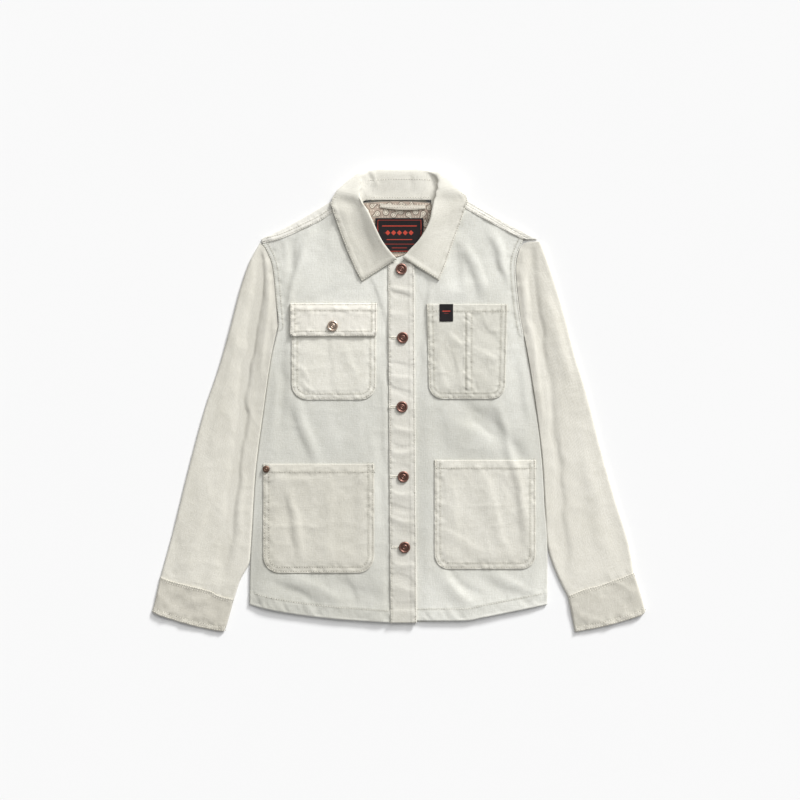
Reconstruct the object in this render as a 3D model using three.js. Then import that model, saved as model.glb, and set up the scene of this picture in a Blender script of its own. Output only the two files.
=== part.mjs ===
// A chore jacket in natural canvas, buttoned and laid flat on its back with the sleeves at its sides.
// Millimetres. +X is to the right seen from above, +Y towards the collar, +Z up. The back rests on z = 0.
// Right and left in the names are the wearer's, so right pieces lie at negative X.
import * as THREE from "three";

// Walls of cloth, and the gap that parts two pieces at a seam
const CANVAS = 1.8;
const SLEEVE_CLOTH = 1.4;
const CUFF_CLOTH = 1.8;
const BAND_CLOTH = 2;
const POCKET_CLOTH = 1.4;
const FLAP_CLOTH = 1.8;
const COLLAR_CLOTH = 2.2;
const LINING_CLOTH = 1;
const SEAM = 0.3;
const CURVED_SEAM = 0.7;

// How the cloth lies: the slack of the fronts above the back, and how high each piece stands
const SLACK = 3;
const SLACK_UNDER_BAND = 0.9;
const SLACK_AT_SIDE = 0.4;
const SIDE_FALL = 26;
const SLEEVE_HEIGHT = 6;
const SLEEVE_HEIGHT_AT_CUFF = 5.2;
const CUFF_HEIGHT = 6.4;
const NECK_LIFT = 2.5;
const NECK_LIFT_FROM = 262;
const NECK_LIFT_TO = 290;

// Front band, its free edge and its five buttons
const BAND = { top: 212, bottom: -345, seamTop: -17, seamBottom: -13, edgeTop: 24, edgeBottom: 28 };
const BUTTON_RADIUS = 8.8;
const FLAP_BUTTON_RADIUS = 8.2;
const BUTTON_HEIGHT = 3.2;
const BUTTON_DISH = 1;
const BUTTONS = [
  { name: "button_1", x: 4, y: 202 },
  { name: "button_2", x: 6, y: 96 },
  { name: "button_3", x: 5, y: -11 },
  { name: "button_4", x: 7, y: -119 },
  { name: "button_5", x: 9, y: -228 },
];
const RIVET = { x: -205, y: -107, radius: 5.2, height: 1.8, dish: 0.4 };

// Pockets: outer edges, mouth, bottom and the radius of the lower corners
const POCKETS = [
  { name: "chest_pocket_right", front: "right", left: -166, right: -35, top: 146, bottom: 0, corner: 24 },
  { name: "chest_pocket_left", front: "left", left: 43, right: 168, top: 148, bottom: 1, corner: 22 },
  { name: "hip_pocket_right", front: "right", left: -210, right: -38, top: -99, bottom: -268, corner: 26 },
  { name: "hip_pocket_left", front: "left", left: 55, right: 212, top: -93, bottom: -262, corner: 23 },
];
const FLAP = { left: -168, right: -34, top: 149, bottom: 98, corner: 5, buttonX: -102, buttonY: 114 };
const TAB = { left: 63, right: 84, top: 148, bottom: 121 };

// Neck label and hanger loop
const LABEL = { left: -36, right: 38, top: 281, bottom: 229 };
const LOOP = { left: -29, right: 41, topLeft: 304, topRight: 302, width: 7, rise: 2 };

// Half widths between which the lift of the neck fades out
const NECK_LIFT_HALF = { full: 92, none: 125 };

// A smooth line through a few points, read by its length from 0 to 1.
function line(...points) {
  const curve = new THREE.SplineCurve(points.map(([x, y]) => new THREE.Vector2(x, y)));
  curve.arcLengthDivisions = 400;
  return (t) => curve.getPointAt(t);
}

const straight = (from, to) => line(from, to);
const backwards = (curve) => (t) => curve(1 - t);
const moved = (curve, dx, dy) => (t) => curve(t).add(new THREE.Vector2(dx, dy));
const mix = THREE.MathUtils.lerp;
const ease = THREE.MathUtils.smoothstep;

// Seams and edges of the right half, from the hem up where they run along the body
const BAND_SEAM_Y = { bottom: -345, top: 222 };
const bandSeamBottom = [BAND.seamBottom - SEAM, BAND_SEAM_Y.bottom];
const bandSeamTop = [BAND.seamTop - SEAM, BAND_SEAM_Y.top];
const hemRight = line([-231, -317], [-200, -325], [-153, -333], [-91, -340], bandSeamBottom);
const sideRight = [[-231, -317], [-230, -253], [-227, -202], [-221, -109], [-209, -16], [-198, 62]];
const armholeRight = [[-187, 114], [-190, 150], [-196, 206], [-206, 232], [-213, 241]];
const bodyEdgeRight = line(...sideRight, ...armholeRight);
const shoulderSeamRight = [[-213, 241], [-184, 249], [-153, 262], [-122, 277], [-102, 290], [-80, 301]];
const necklineRight = [[-66, 304], [-57, 293], [-47, 272], [-36, 250], [-26, 234], bandSeamTop];
const bandSeam = straight(bandSeamBottom, bandSeamTop);

// Seams and edges of the left half, which passes under the band
const UNDER_BAND_X = -11;
const underBandBottom = [UNDER_BAND_X, -342];
const underBandTop = [UNDER_BAND_X, 216];
const hemLeft = line(underBandBottom, [98, -342], [126, -338], [157, -332], [187, -326], [230, -317]);
const sideLeft = [[230, -317], [230, -220], [226, -166], [222, -95], [214, -24], [202, 55]];
const armholeLeft = [[193, 104], [187, 139], [181, 198], [184, 225], [193, 246]];
const bodyEdgeLeft = line(...sideLeft, ...armholeLeft);
const shoulderSeamLeft = [[193, 246], [157, 266], [126, 283], [103, 296], [82, 305]];
const necklineLeft = [[68, 306], [59, 294], [50, 270], [38, 247], [26, 232], underBandTop];

// Folds of the fronts: a bowed line from, via, to; its rise above the cloth (a trough is below 0)
// and how far it spreads to each side.
const FRONT_FOLDS = [
  { from: [-134, 262], via: [-158, 198], to: [-176, 140], rise: 2.4, spread: 11 },
  { from: [-160, 248], via: [-166, 225], to: [-164, 200], rise: -1.8, spread: 9 },
  { from: [-44, 186], via: [-20, 130], to: [-18, 20], rise: -2.2, spread: 11 },
  { from: [-30, 20], via: [-24, -120], to: [-20, -300], rise: -1.5, spread: 10 },
  { from: [46, 190], via: [36, 120], to: [28, 30], rise: -2, spread: 11 },
  { from: [146, 258], via: [165, 215], to: [174, 170], rise: 2.4, spread: 12 },
  { from: [103, 240], via: [127, 196], to: [136, 156], rise: 1.8, spread: 11 },
  { from: [88, 240], via: [94, 205], to: [90, 168], rise: -1.6, spread: 10 },
  { from: [151, 0], via: [170, -75], to: [204, -220], rise: 2.2, spread: 14 },
  { from: [-162, 0], via: [-146, -40], to: [-124, -95], rise: 1.8, spread: 13 },
  { from: [-176, -272], via: [-125, -282], to: [-92, -310], rise: 1.6, spread: 12 },
  { from: [58, -248], via: [82, -292], to: [112, -318], rise: 1.8, spread: 12 },
  { from: [-184, 92], via: [-176, 30], to: [-186, -40], rise: -1.8, spread: 12 },
  { from: [185, 80], via: [184, 20], to: [194, -40], rise: -1.8, spread: 12 },
];

// Folds of the sleeves, in the same columns
const SLEEVE_FOLDS = [
  { from: [-213, 225], via: [-219, 139], to: [-235, 20], rise: -2, spread: 11 },
  { from: [-232, 60], via: [-246, -90], to: [-270, -270], rise: -1.8, spread: 13 },
  { from: [-202, 190], via: [-204, 120], to: [-212, 40], rise: 1.6, spread: 9 },
  { from: [-236, 165], via: [-252, 90], to: [-282, -10], rise: 1.6, spread: 12 },
  { from: [-290, -120], via: [-312, -200], to: [-330, -270], rise: 1.4, spread: 14 },
  { from: [206, 228], via: [212, 150], to: [229, 40], rise: -2, spread: 11 },
  { from: [231, 60], via: [240, -95], to: [262, -280], rise: -1.8, spread: 13 },
  { from: [226, 180], via: [246, 110], to: [270, 20], rise: 1.8, spread: 12 },
  { from: [199, 120], via: [214, 60], to: [222, -30], rise: 1.6, spread: 9 },
  { from: [290, -90], via: [312, -180], to: [328, -255], rise: 1.4, spread: 14 },
];

// How much the folds of a table raise the cloth at a point; each fold fades towards its ends.
const FOLD_STEPS = 12;
const FOLD_FADE = 0.06;
function rise(folds, x, y) {
  let total = 0;
  for (const fold of folds) {
    const curve = new THREE.QuadraticBezierCurve(
      new THREE.Vector2(...fold.from),
      new THREE.Vector2(...fold.via),
      new THREE.Vector2(...fold.to),
    );
    let nearest = Infinity;
    let along = 0;
    for (let i = 0; i <= FOLD_STEPS; i++) {
      const distance = curve.getPoint(i / FOLD_STEPS).distanceTo(new THREE.Vector2(x, y));
      if (distance < nearest) {
        nearest = distance;
        along = i / FOLD_STEPS;
      }
    }
    const taper = Math.sqrt(Math.sin(Math.PI * mix(FOLD_FADE, 1 - FOLD_FADE, along)));
    total += fold.rise * taper * Math.exp(-((nearest / fold.spread) ** 2));
  }
  return total;
}

// A patch of cloth between four edges, left and right from the bottom up and bottom and top from the left.
// Crowded columns draw together at both sides, and a rising above 1 draws the rows together at the top.
function patch({ left, right, bottom, top }, across, along, crowd = false, rising = 1) {
  const corners = [bottom(0), bottom(1), top(0), top(1)];
  const rows = [];
  for (let j = 0; j <= along; j++) {
    const v = 1 - (1 - j / along) ** rising;
    const row = [];
    for (let k = 0; k <= across; k++) {
      const u = crowd ? 0.5 - 0.5 * Math.cos((Math.PI * k) / across) : k / across;
      const point = new THREE.Vector3();
      for (const axis of ["x", "y"]) {
        const [c00, c10, c01, c11] = corners.map((corner) => corner[axis]);
        point[axis] =
          mix(bottom(u)[axis], top(u)[axis], v) +
          mix(left(v)[axis], right(v)[axis], u) -
          mix(mix(c00, c10, u), mix(c01, c11, u), v);
      }
      row.push(Object.assign(point, { u, v }));
    }
    rows.push(row);
  }
  return rows;
}

// The volume inside a closed surface; below 0 where its faces point inwards.
function volumeInside(points, index) {
  let six = 0;
  for (let i = 0; i < index.length; i += 3) {
    const [a, b, c] = [points[index[i]], points[index[i + 1]], points[index[i + 2]]];
    six += a.dot(new THREE.Vector3().crossVectors(b, c));
  }
  return six / 6;
}

// A wall of cloth between an outer and an inner sheet of points. Around joins each row's end to its start.
function wall(outer, inner, around = false) {
  const rows = outer.length;
  const columns = outer[0].length;
  const steps = around ? columns : columns - 1;
  const points = [...outer.flat(), ...inner.flat()];
  const at = (sheet, j, k) => (sheet * rows + j) * columns + (k % columns);
  const index = [];
  const quad = (a, b, c, d) => index.push(a, b, c, a, c, d);
  for (let j = 0; j < rows - 1; j++) {
    for (let k = 0; k < steps; k++) {
      quad(at(0, j, k), at(0, j, k + 1), at(0, j + 1, k + 1), at(0, j + 1, k));
      quad(at(1, j, k), at(1, j + 1, k), at(1, j + 1, k + 1), at(1, j, k + 1));
    }
  }
  const last = rows - 1;
  for (let k = 0; k < steps; k++) {
    quad(at(0, 0, k), at(1, 0, k), at(1, 0, k + 1), at(0, 0, k + 1));
    quad(at(0, last, k), at(0, last, k + 1), at(1, last, k + 1), at(1, last, k));
  }
  if (!around) {
    const end = columns - 1;
    for (let j = 0; j < last; j++) {
      quad(at(0, j, 0), at(0, j + 1, 0), at(1, j + 1, 0), at(1, j, 0));
      quad(at(0, j, end), at(1, j, end), at(1, j + 1, end), at(0, j + 1, end));
    }
  }
  if (volumeInside(points, index) < 0) index.reverse();
  const geometry = new THREE.BufferGeometry().setFromPoints(points);
  geometry.setIndex(index);
  geometry.computeVertexNormals();
  return geometry;
}

// The same sheet of points with new heights.
const atHeight = (rows, height) =>
  rows.map((row) => row.map((p) => Object.assign(p.clone().setZ(height(p)), { u: p.u, v: p.v })));

// Height of a sheet of points over a place, or minus infinity beside it.
const WEIGHT_ERROR = 1e-6;
function heightOver(rows, x, y) {
  const place = new THREE.Vector3(x, y, 0);
  const weights = new THREE.Vector3();
  const flat = (p) => new THREE.Vector3(p.x, p.y, 0);
  for (let j = 0; j < rows.length - 1; j++) {
    for (let k = 0; k < rows[j].length - 1; k++) {
      const [a, b, c, d] = [rows[j][k], rows[j][k + 1], rows[j + 1][k + 1], rows[j + 1][k]];
      if (x < Math.min(a.x, b.x, c.x, d.x) || x > Math.max(a.x, b.x, c.x, d.x)) continue;
      if (y < Math.min(a.y, b.y, c.y, d.y) || y > Math.max(a.y, b.y, c.y, d.y)) continue;
      for (const [p, q, r] of [[a, b, c], [a, c, d]]) {
        THREE.Triangle.getBarycoord(place, flat(p), flat(q), flat(r), weights);
        const inside = Math.min(weights.x, weights.y, weights.z) >= -WEIGHT_ERROR;
        if (inside) return p.z * weights.x + q.z * weights.y + r.z * weights.z;
      }
    }
  }
  return -Infinity;
}

// The highest of several sheets over a place.
const topOver = (carriers, x, y) => Math.max(...carriers.map((rows) => heightOver(rows, x, y)));

// Lays a sheet on its carriers: each point goes a seam's gap over them, and is lifted on until the
// faces between the points clear them too. It never goes below its own floor.
const LAY_ROUNDS = 6;
const LAY_SAMPLES = 7;
const LAY_ERROR = 0.01;
const LAY_STEP = 0.6;
function lay(rows, carriers, floorAt = () => 0) {
  const laid = atHeight(rows, (p) => Math.max(topOver(carriers, p.x, p.y) + SEAM, floorAt(p)));
  for (let round = 0; round < LAY_ROUNDS; round++) {
    for (let j = 0; j < laid.length - 1; j++) {
      for (let k = 0; k < laid[j].length - 1; k++) {
        const [a, b, c, d] = [laid[j][k], laid[j][k + 1], laid[j + 1][k + 1], laid[j + 1][k]];
        for (const [p, q, r] of [[a, b, c], [a, c, d]]) {
          let short = 0;
          for (let m = 0; m <= LAY_SAMPLES; m++) {
            for (let n = 0; n <= LAY_SAMPLES - m; n++) {
              const [s, t] = [m / LAY_SAMPLES, n / LAY_SAMPLES];
              const o = 1 - s - t;
              const x = p.x * s + q.x * t + r.x * o;
              const y = p.y * s + q.y * t + r.y * o;
              const z = p.z * s + q.z * t + r.z * o;
              short = Math.max(short, topOver(carriers, x, y) + SEAM - z);
            }
          }
          if (short > LAY_ERROR) for (const point of [p, q, r]) point.z += short * LAY_STEP;
        }
      }
    }
  }
  return laid;
}

// A flat outline with square upper corners and round lower ones.
function pocketEdges({ left, right, top, bottom, corner }) {
  const lower = new THREE.Path();
  lower.moveTo(left, bottom + corner);
  lower.absarc(left + corner, bottom + corner, corner, Math.PI, 1.5 * Math.PI);
  lower.absarc(right - corner, bottom + corner, corner, 1.5 * Math.PI, 2 * Math.PI);
  return {
    left: straight([left, bottom + corner], [left, top]),
    right: straight([right, bottom + corner], [right, top]),
    top: straight([left, top], [right, top]),
    bottom: (t) => lower.getPointAt(t),
  };
}

const colours = {
  canvas: { color: 0xe6e3d8, roughness: 0.9 },
  lining: { color: 0xb9a58c, roughness: 0.85 },
  label: { color: 0x24242b, roughness: 0.8 },
  copper: { color: 0x7b5848, roughness: 0.4, metalness: 0.9 },
  rose: { color: 0xd3bfac, roughness: 0.35, metalness: 0.9 },
  rivet: { color: 0x624f44, roughness: 0.45, metalness: 0.9 },
};

const jacket = new THREE.Group();

function add(name, geometry, colour = "canvas") {
  const mesh = new THREE.Mesh(geometry, new THREE.MeshStandardMaterial(colours[colour]));
  mesh.name = name;
  jacket.add(mesh);
}

const raised = (rows, by) => atHeight(rows, (p) => p.z + by);

// Back: flat on the surface, lifted at the neck where the collar's fall lies under it.
const BACK_SIDE_INSET = 1;
const BACK_ACROSS = 8;
const BODY_ALONG = 26;
const BODY_RISING = 1.2;
const neckLift = (x, y) => {
  const up = ease(y, NECK_LIFT_FROM, NECK_LIFT_TO);
  return NECK_LIFT * up * (1 - ease(Math.abs(x), NECK_LIFT_HALF.full, NECK_LIFT_HALF.none));
};
const backEdges = {
  left: moved(bodyEdgeRight, BACK_SIDE_INSET, 0),
  right: moved(bodyEdgeLeft, -BACK_SIDE_INSET, 0),
  bottom: line([-230, -317], [-200, -325], [-153, -333], [-91, -340], [-20, -344], [98, -342], [157, -332],
    [229, -317]),
  top: line([-212, 241], [-184, 254], [-153, 270], [-122, 287], [-96, 299], [-60, 305], [0, 308], [54, 305],
    [98, 300], [126, 287], [157, 269], [177, 260], [192, 246]),
};
const backFlat = patch(backEdges, BACK_ACROSS, BODY_ALONG, false, BODY_RISING);
const backUnder = atHeight(backFlat, (p) => neckLift(p.x, p.y));
const backOuter = raised(backUnder, CANVAS);
add("back_panel", wall(backOuter, backUnder));

// Fronts: the height of the inner face over the back, with the folds; the left one dips under the band.
const FRONT_ACROSS = 14;
const FRONT_WIDTH = 215;
const LEAST_SLACK = 0.15;
const PRESSED = { from: BAND.edgeTop - 2, to: BAND.edgeTop + 24 };
function frontUnder(x, y, fromSide, underBand) {
  const side = ease(fromSide, 0, SIDE_FALL);
  const pressed = underBand ? ease(x, PRESSED.from, PRESSED.to) : 1;
  const slack = mix(SLACK_AT_SIDE, mix(SLACK_UNDER_BAND, SLACK, pressed), side);
  const loose = slack + side * pressed * rise(FRONT_FOLDS, x, y);
  return CANVAS + SEAM + neckLift(x, y) + Math.max(loose, LEAST_SLACK);
}

const frontRightFlat = patch(
  {
    left: bodyEdgeRight,
    right: bandSeam,
    bottom: hemRight,
    top: line(...shoulderSeamRight, ...necklineRight),
  },
  FRONT_ACROSS,
  BODY_ALONG,
  false,
  BODY_RISING,
);
const frontLeftFlat = patch(
  {
    left: straight(underBandBottom, underBandTop),
    right: bodyEdgeLeft,
    bottom: hemLeft,
    top: backwards(line(...shoulderSeamLeft, ...necklineLeft)),
  },
  FRONT_ACROSS,
  BODY_ALONG,
  false,
  BODY_RISING,
);
const frontRightUnder = atHeight(frontRightFlat, (p) => frontUnder(p.x, p.y, p.u * FRONT_WIDTH, false));
const frontLeftUnder = atHeight(frontLeftFlat, (p) => frontUnder(p.x, p.y, (1 - p.u) * FRONT_WIDTH, true));
const frontRightOuter = raised(frontRightUnder, CANVAS);
const frontLeftOuter = raised(frontLeftUnder, CANVAS);
add("front_right", wall(frontRightOuter, frontRightUnder));
add("front_left", wall(frontLeftOuter, frontLeftUnder));
const fronts = { right: frontRightOuter, left: frontLeftOuter };

// Front band over the left front's edge
const bandEdges = {
  left: straight([BAND.seamBottom, BAND.bottom], [BAND.seamTop, BAND.top]),
  right: straight([BAND.edgeBottom, BAND.bottom], [BAND.edgeTop, BAND.top]),
  bottom: straight([BAND.seamBottom, BAND.bottom], [BAND.edgeBottom, BAND.bottom]),
  top: straight([BAND.seamTop, BAND.top], [BAND.edgeTop, BAND.top]),
};
const BAND_FLOOR = CANVAS + SEAM + 2;
const BAND_GRID = { across: 3, along: 28 };
const bandFlat = patch(bandEdges, BAND_GRID.across, BAND_GRID.along);
const bandUnder = lay(bandFlat, [frontLeftOuter], () => BAND_FLOOR);
const bandOuter = raised(bandUnder, BAND_CLOTH);
add("placket", wall(bandOuter, bandUnder));

// Pockets on the fronts
const POCKET_GRID = { across: 8, along: 8 };
const FLAP_ALONG = 4;
const TAB_GRID = { across: 3, along: 4, corner: 1 };
const pocketOuters = {};
for (const pocket of POCKETS) {
  const under = lay(patch(pocketEdges(pocket), POCKET_GRID.across, POCKET_GRID.along, true), [
    fronts[pocket.front],
  ]);
  const outer = raised(under, POCKET_CLOTH);
  pocketOuters[pocket.name] = outer;
  add(pocket.name, wall(outer, under));
}
const flapFlat = patch(pocketEdges(FLAP), POCKET_GRID.across, FLAP_ALONG, true);
const flapUnder = lay(flapFlat, [frontRightOuter, pocketOuters.chest_pocket_right]);
const flapOuter = raised(flapUnder, FLAP_CLOTH);
add("pocket_flap", wall(flapOuter, flapUnder));

const tabEdges = pocketEdges({ ...TAB, corner: TAB_GRID.corner });
const tabFlat = patch(tabEdges, TAB_GRID.across, TAB_GRID.along);
const tabUnder = lay(tabFlat, [frontLeftOuter, pocketOuters.chest_pocket_left]);
add("pocket_tab", wall(raised(tabUnder, LINING_CLOTH), tabUnder), "label");

// Shoulder yokes: from the seam on the front, over the shoulder and a little way under.
// The rows of the outer face above the shoulder's edge come first in each section.
const YOKE_UNDER = 7;
const YOKE_HEIGHT = 5;
const YOKE_ALONG = 10;
const YOKE_ROWS_ABOVE = 5;
function yoke(seamPoints, foldPoints) {
  const seam = line(...seamPoints);
  const fold = line(...foldPoints);
  const outer = [];
  const inner = [];
  for (let j = 0; j <= YOKE_ALONG; j++) {
    const s = seam(j / YOKE_ALONG);
    const f = fold(j / YOKE_ALONG);
    const lift = neckLift(f.x, f.y);
    const seamTop = frontUnder(s.x, s.y, SIDE_FALL * ease(j, 0, 3), false) + CANVAS;
    const inward = new THREE.Vector2().subVectors(s, f).normalize();
    const onTop = (share, height) => new THREE.Vector3(mix(s.x, f.x, share), mix(s.y, f.y, share), height);
    const from = (distance, height) =>
      new THREE.Vector3(f.x + inward.x * distance, f.y + inward.y * distance, height);
    const high = Math.min(seamTop, YOKE_HEIGHT);
    outer.push([
      onTop(0, seamTop),
      onTop(0.35, mix(seamTop, high, 0.5)),
      from(4.2, high),
      from(1.2, high - 0.9),
      from(0, high * 0.5 + lift * 0.5),
      from(1, lift + 0.5),
      from(3.4, lift),
      from(YOKE_UNDER, lift),
    ]);
    inner.push([
      onTop(0, seamTop - CANVAS),
      onTop(0.35, mix(seamTop, high, 0.5) - CANVAS),
      from(4.2, high - CANVAS),
      from(2.6, high - CANVAS - 0.1),
      from(1.9, high * 0.5 + lift * 0.5 + 0.05),
      from(2.4, lift + CANVAS - 0.1),
      from(3.4, lift + CANVAS),
      from(YOKE_UNDER, lift + CANVAS),
    ]);
  }
  return { geometry: wall(outer, inner), top: outer.map((row) => row.slice(0, YOKE_ROWS_ABOVE)) };
}
const yokeRight = yoke(
  [[-211, 243.5], [-184, 249.5], [-153, 262.6], [-122, 277.8], [-102, 291], [-88, 298]],
  [[-213, 249], [-184, 263], [-153, 279], [-122, 297], [-104, 307], [-90, 313]],
);
add("yoke_right", yokeRight.geometry);
const yokeLeft = yoke(
  [[191, 248.5], [157, 266.6], [126, 283.8], [103, 297], [90, 303]],
  [[215, 249], [188, 263], [157, 279], [126, 296], [104, 309], [92, 315]],
);
add("yoke_left", yokeLeft.geometry);

// A flattened tube of cloth over a patch, open at both ends.
const TUBE_EDGE = 4;
function tube(edges, across, along, thick, heightAt) {
  const rows = patch(edges, across, along, true);
  const round = (distance, radius) => {
    const share = THREE.MathUtils.clamp(distance / radius, 0, 1);
    return Math.sqrt(1 - (1 - share) ** 2);
  };
  const outer = [];
  const inner = [];
  for (const row of rows) {
    const width = row[0].distanceTo(row[across]);
    const inset = thick / width;
    const rings = [[], []];
    for (const under of [false, true]) {
      const order = under ? row.slice(1, -1).reverse() : row;
      for (const p of order) {
        const high = heightAt(p);
        const middle = Math.min(thick + 0.5, high / 2);
        const edgeShare = Math.min(p.u, 1 - p.u);
        const rounding = round(edgeShare * width, TUBE_EDGE);
        rings[0].push(p.clone().setZ(under ? middle * (1 - rounding) : mix(middle, high, rounding)));
        const towards = mix(inset, 1 - inset, p.u);
        const insidePoint = row[0].clone().lerp(row[across], towards);
        const bow = p.clone().sub(row[0].clone().lerp(row[across], p.u));
        const insideRounding = round(edgeShare * width, TUBE_EDGE - thick);
        const roof = mix(middle + 0.1, high - thick, insideRounding);
        const base = mix(middle - 0.1, thick, insideRounding);
        rings[1].push(insidePoint.add(bow).setZ(under ? base : roof));
      }
    }
    outer.push(rings[0]);
    inner.push(rings[1]);
  }
  return wall(outer, inner, true);
}

const SLEEVE_HOLLOW = 0.8;
const sleeveTop = (p) => {
  const base = mix(SLEEVE_HEIGHT_AT_CUFF, SLEEVE_HEIGHT, p.v) + rise(SLEEVE_FOLDS, p.x, p.y);
  return Math.max(base, 2 * SLEEVE_CLOTH + SLEEVE_HOLLOW);
};

const SLEEVE_ACROSS = 8;
const SLEEVE_ALONG = 20;
const cuffSeamRight = [[-369, -275], [-355, -281], [-324, -289], [-293, -297], [-277, -305], [-255, -310]];
const innerSeamRight = [[-255, -310], [-245, -279], [-232, -255], [-229, -233], ...sideRight.slice(2),
  [-187, 114]];
add(
  "sleeve_right",
  tube(
    {
      left: line([-369, -275], [-349, -202], [-326, -109], [-301, -16], [-280, 46], [-262, 108], [-246, 170],
        [-231, 214], [-215.6, 242.2]),
      right: moved(line(...innerSeamRight), -CURVED_SEAM, 0),
      bottom: line(...cuffSeamRight),
      top: moved(backwards(line(...armholeRight, [-215, 243])), -CURVED_SEAM, -CURVED_SEAM),
    },
    SLEEVE_ACROSS,
    SLEEVE_ALONG,
    SLEEVE_CLOTH,
    sleeveTop,
  ),
);
const cuffSeamLeft = [[262, -305], [281, -297], [296, -292], [312, -288], [343, -277], [364, -269]];
const innerSeamLeft = [[262, -305], [251, -284], [237, -251], [229.5, -220], ...sideLeft.slice(2), [193, 104]];
add(
  "sleeve_left",
  tube(
    {
      left: moved(line(...innerSeamLeft), CURVED_SEAM, 0),
      right: line([364, -269], [355, -217], [336, -155], [314, -78], [290, 15], [271, 77], [250, 155],
        [235, 203], [220, 245]),
      bottom: line(...cuffSeamLeft),
      top: moved(line([193, 104], [187, 139], [181, 198], [184, 225], [193, 242], [219, 245]), CURVED_SEAM,
        -CURVED_SEAM),
    },
    SLEEVE_ACROSS,
    SLEEVE_ALONG,
    SLEEVE_CLOTH,
    sleeveTop,
  ),
);

// Cuffs: doubled cloth, a little thicker than the sleeve they close.
const CUFF_ALONG = 3;
const CUFF_GAP = 1;
const cuffTop = () => CUFF_HEIGHT;
add(
  "cuff_right",
  tube(
    {
      left: line([-382, -328], [-377, -310], [-369.5, -276]),
      right: line([-270, -358.5], [-265, -344], [-255.5, -311]),
      bottom: line([-382, -328], [-370, -334], [-339, -344], [-308, -352], [-285, -357], [-270, -358.5]),
      top: moved(line(...cuffSeamRight), -0.4, -CUFF_GAP),
    },
    SLEEVE_ACROSS,
    CUFF_ALONG,
    CUFF_CLOTH,
    cuffTop,
  ),
);
add(
  "cuff_left",
  tube(
    {
      left: line([273, -359.5], [268, -334], [262, -306]),
      right: line([382, -327], [373, -295], [364, -270]),
      bottom: line([273, -359.5], [281, -358], [312, -352], [343, -344], [374, -334], [382, -327]),
      top: moved(line(...cuffSeamLeft), 0.3, -CUFF_GAP),
    },
    SLEEVE_ACROSS,
    CUFF_ALONG,
    CUFF_CLOTH,
    cuffTop,
  ),
);

// Lining behind the neck, between the edges of the neck opening and clear of the fronts
const LINING_INSET = 1;
const LINING_LOW_X = -15;
const liningEdges = {
  left: moved(line([LINING_LOW_X, 222], [-26, 234], [-36, 250], [-47, 272], [-57, 293], [-60, 304]),
    LINING_INSET, 0),
  right: moved(line([24, 232], [38, 247], [50, 270], [57, 293], [57, 304]), -LINING_INSET, 0),
  bottom: line([LINING_LOW_X + LINING_INSET, 222], [0, 222], [24 - LINING_INSET, 232]),
  top: line([-60 + LINING_INSET, 304], [0, 307], [57 - LINING_INSET, 304]),
};
const LINING_GRID = { across: 6, along: 7 };
const liningUnder = lay(patch(liningEdges, LINING_GRID.across, LINING_GRID.along), [backOuter]);
const liningOuter = raised(liningUnder, LINING_CLOTH);
add("neck_lining", wall(liningOuter, liningUnder), "lining");

const LABEL_GRID = { across: 5, along: 5 };
const labelEdges = {
  left: line([-17, LABEL.bottom], [-30, 248], [LABEL.left, 260], [LABEL.left, LABEL.top]),
  right: line([18, LABEL.bottom], [31, 248], [LABEL.right, 262], [LABEL.right, LABEL.top]),
  bottom: straight([-17, LABEL.bottom], [18, LABEL.bottom]),
  top: straight([LABEL.left, LABEL.top], [LABEL.right, LABEL.top]),
};
const labelFlat = patch(labelEdges, LABEL_GRID.across, LABEL_GRID.along);
const labelUnder = lay(labelFlat, [liningOuter, backOuter]);
const labelOuter = raised(labelUnder, LINING_CLOTH);
add("neck_label", wall(labelOuter, labelUnder), "label");

const loopEdges = {
  left: straight([LOOP.left, LOOP.topLeft - LOOP.width], [LOOP.left, LOOP.topLeft]),
  right: straight([LOOP.right, LOOP.topRight - LOOP.width], [LOOP.right, LOOP.topRight]),
  bottom: straight([LOOP.left, LOOP.topLeft - LOOP.width], [LOOP.right, LOOP.topRight - LOOP.width]),
  top: straight([LOOP.left, LOOP.topLeft], [LOOP.right, LOOP.topRight]),
};
const LOOP_FLOOR = CANVAS + NECK_LIFT + LINING_CLOTH + 2 * SEAM;
const LOOP_GRID = { across: 8, along: 2 };
const loopFlat = patch(loopEdges, LOOP_GRID.across, LOOP_GRID.along);
const loopLaid = lay(loopFlat, [liningOuter], () => LOOP_FLOOR);
const loopUnder = atHeight(loopLaid, (p) => p.z + LOOP.rise * Math.sin(Math.PI * p.u));
add("hanger_loop", wall(raised(loopUnder, LINING_CLOTH), loopUnder));

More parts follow.
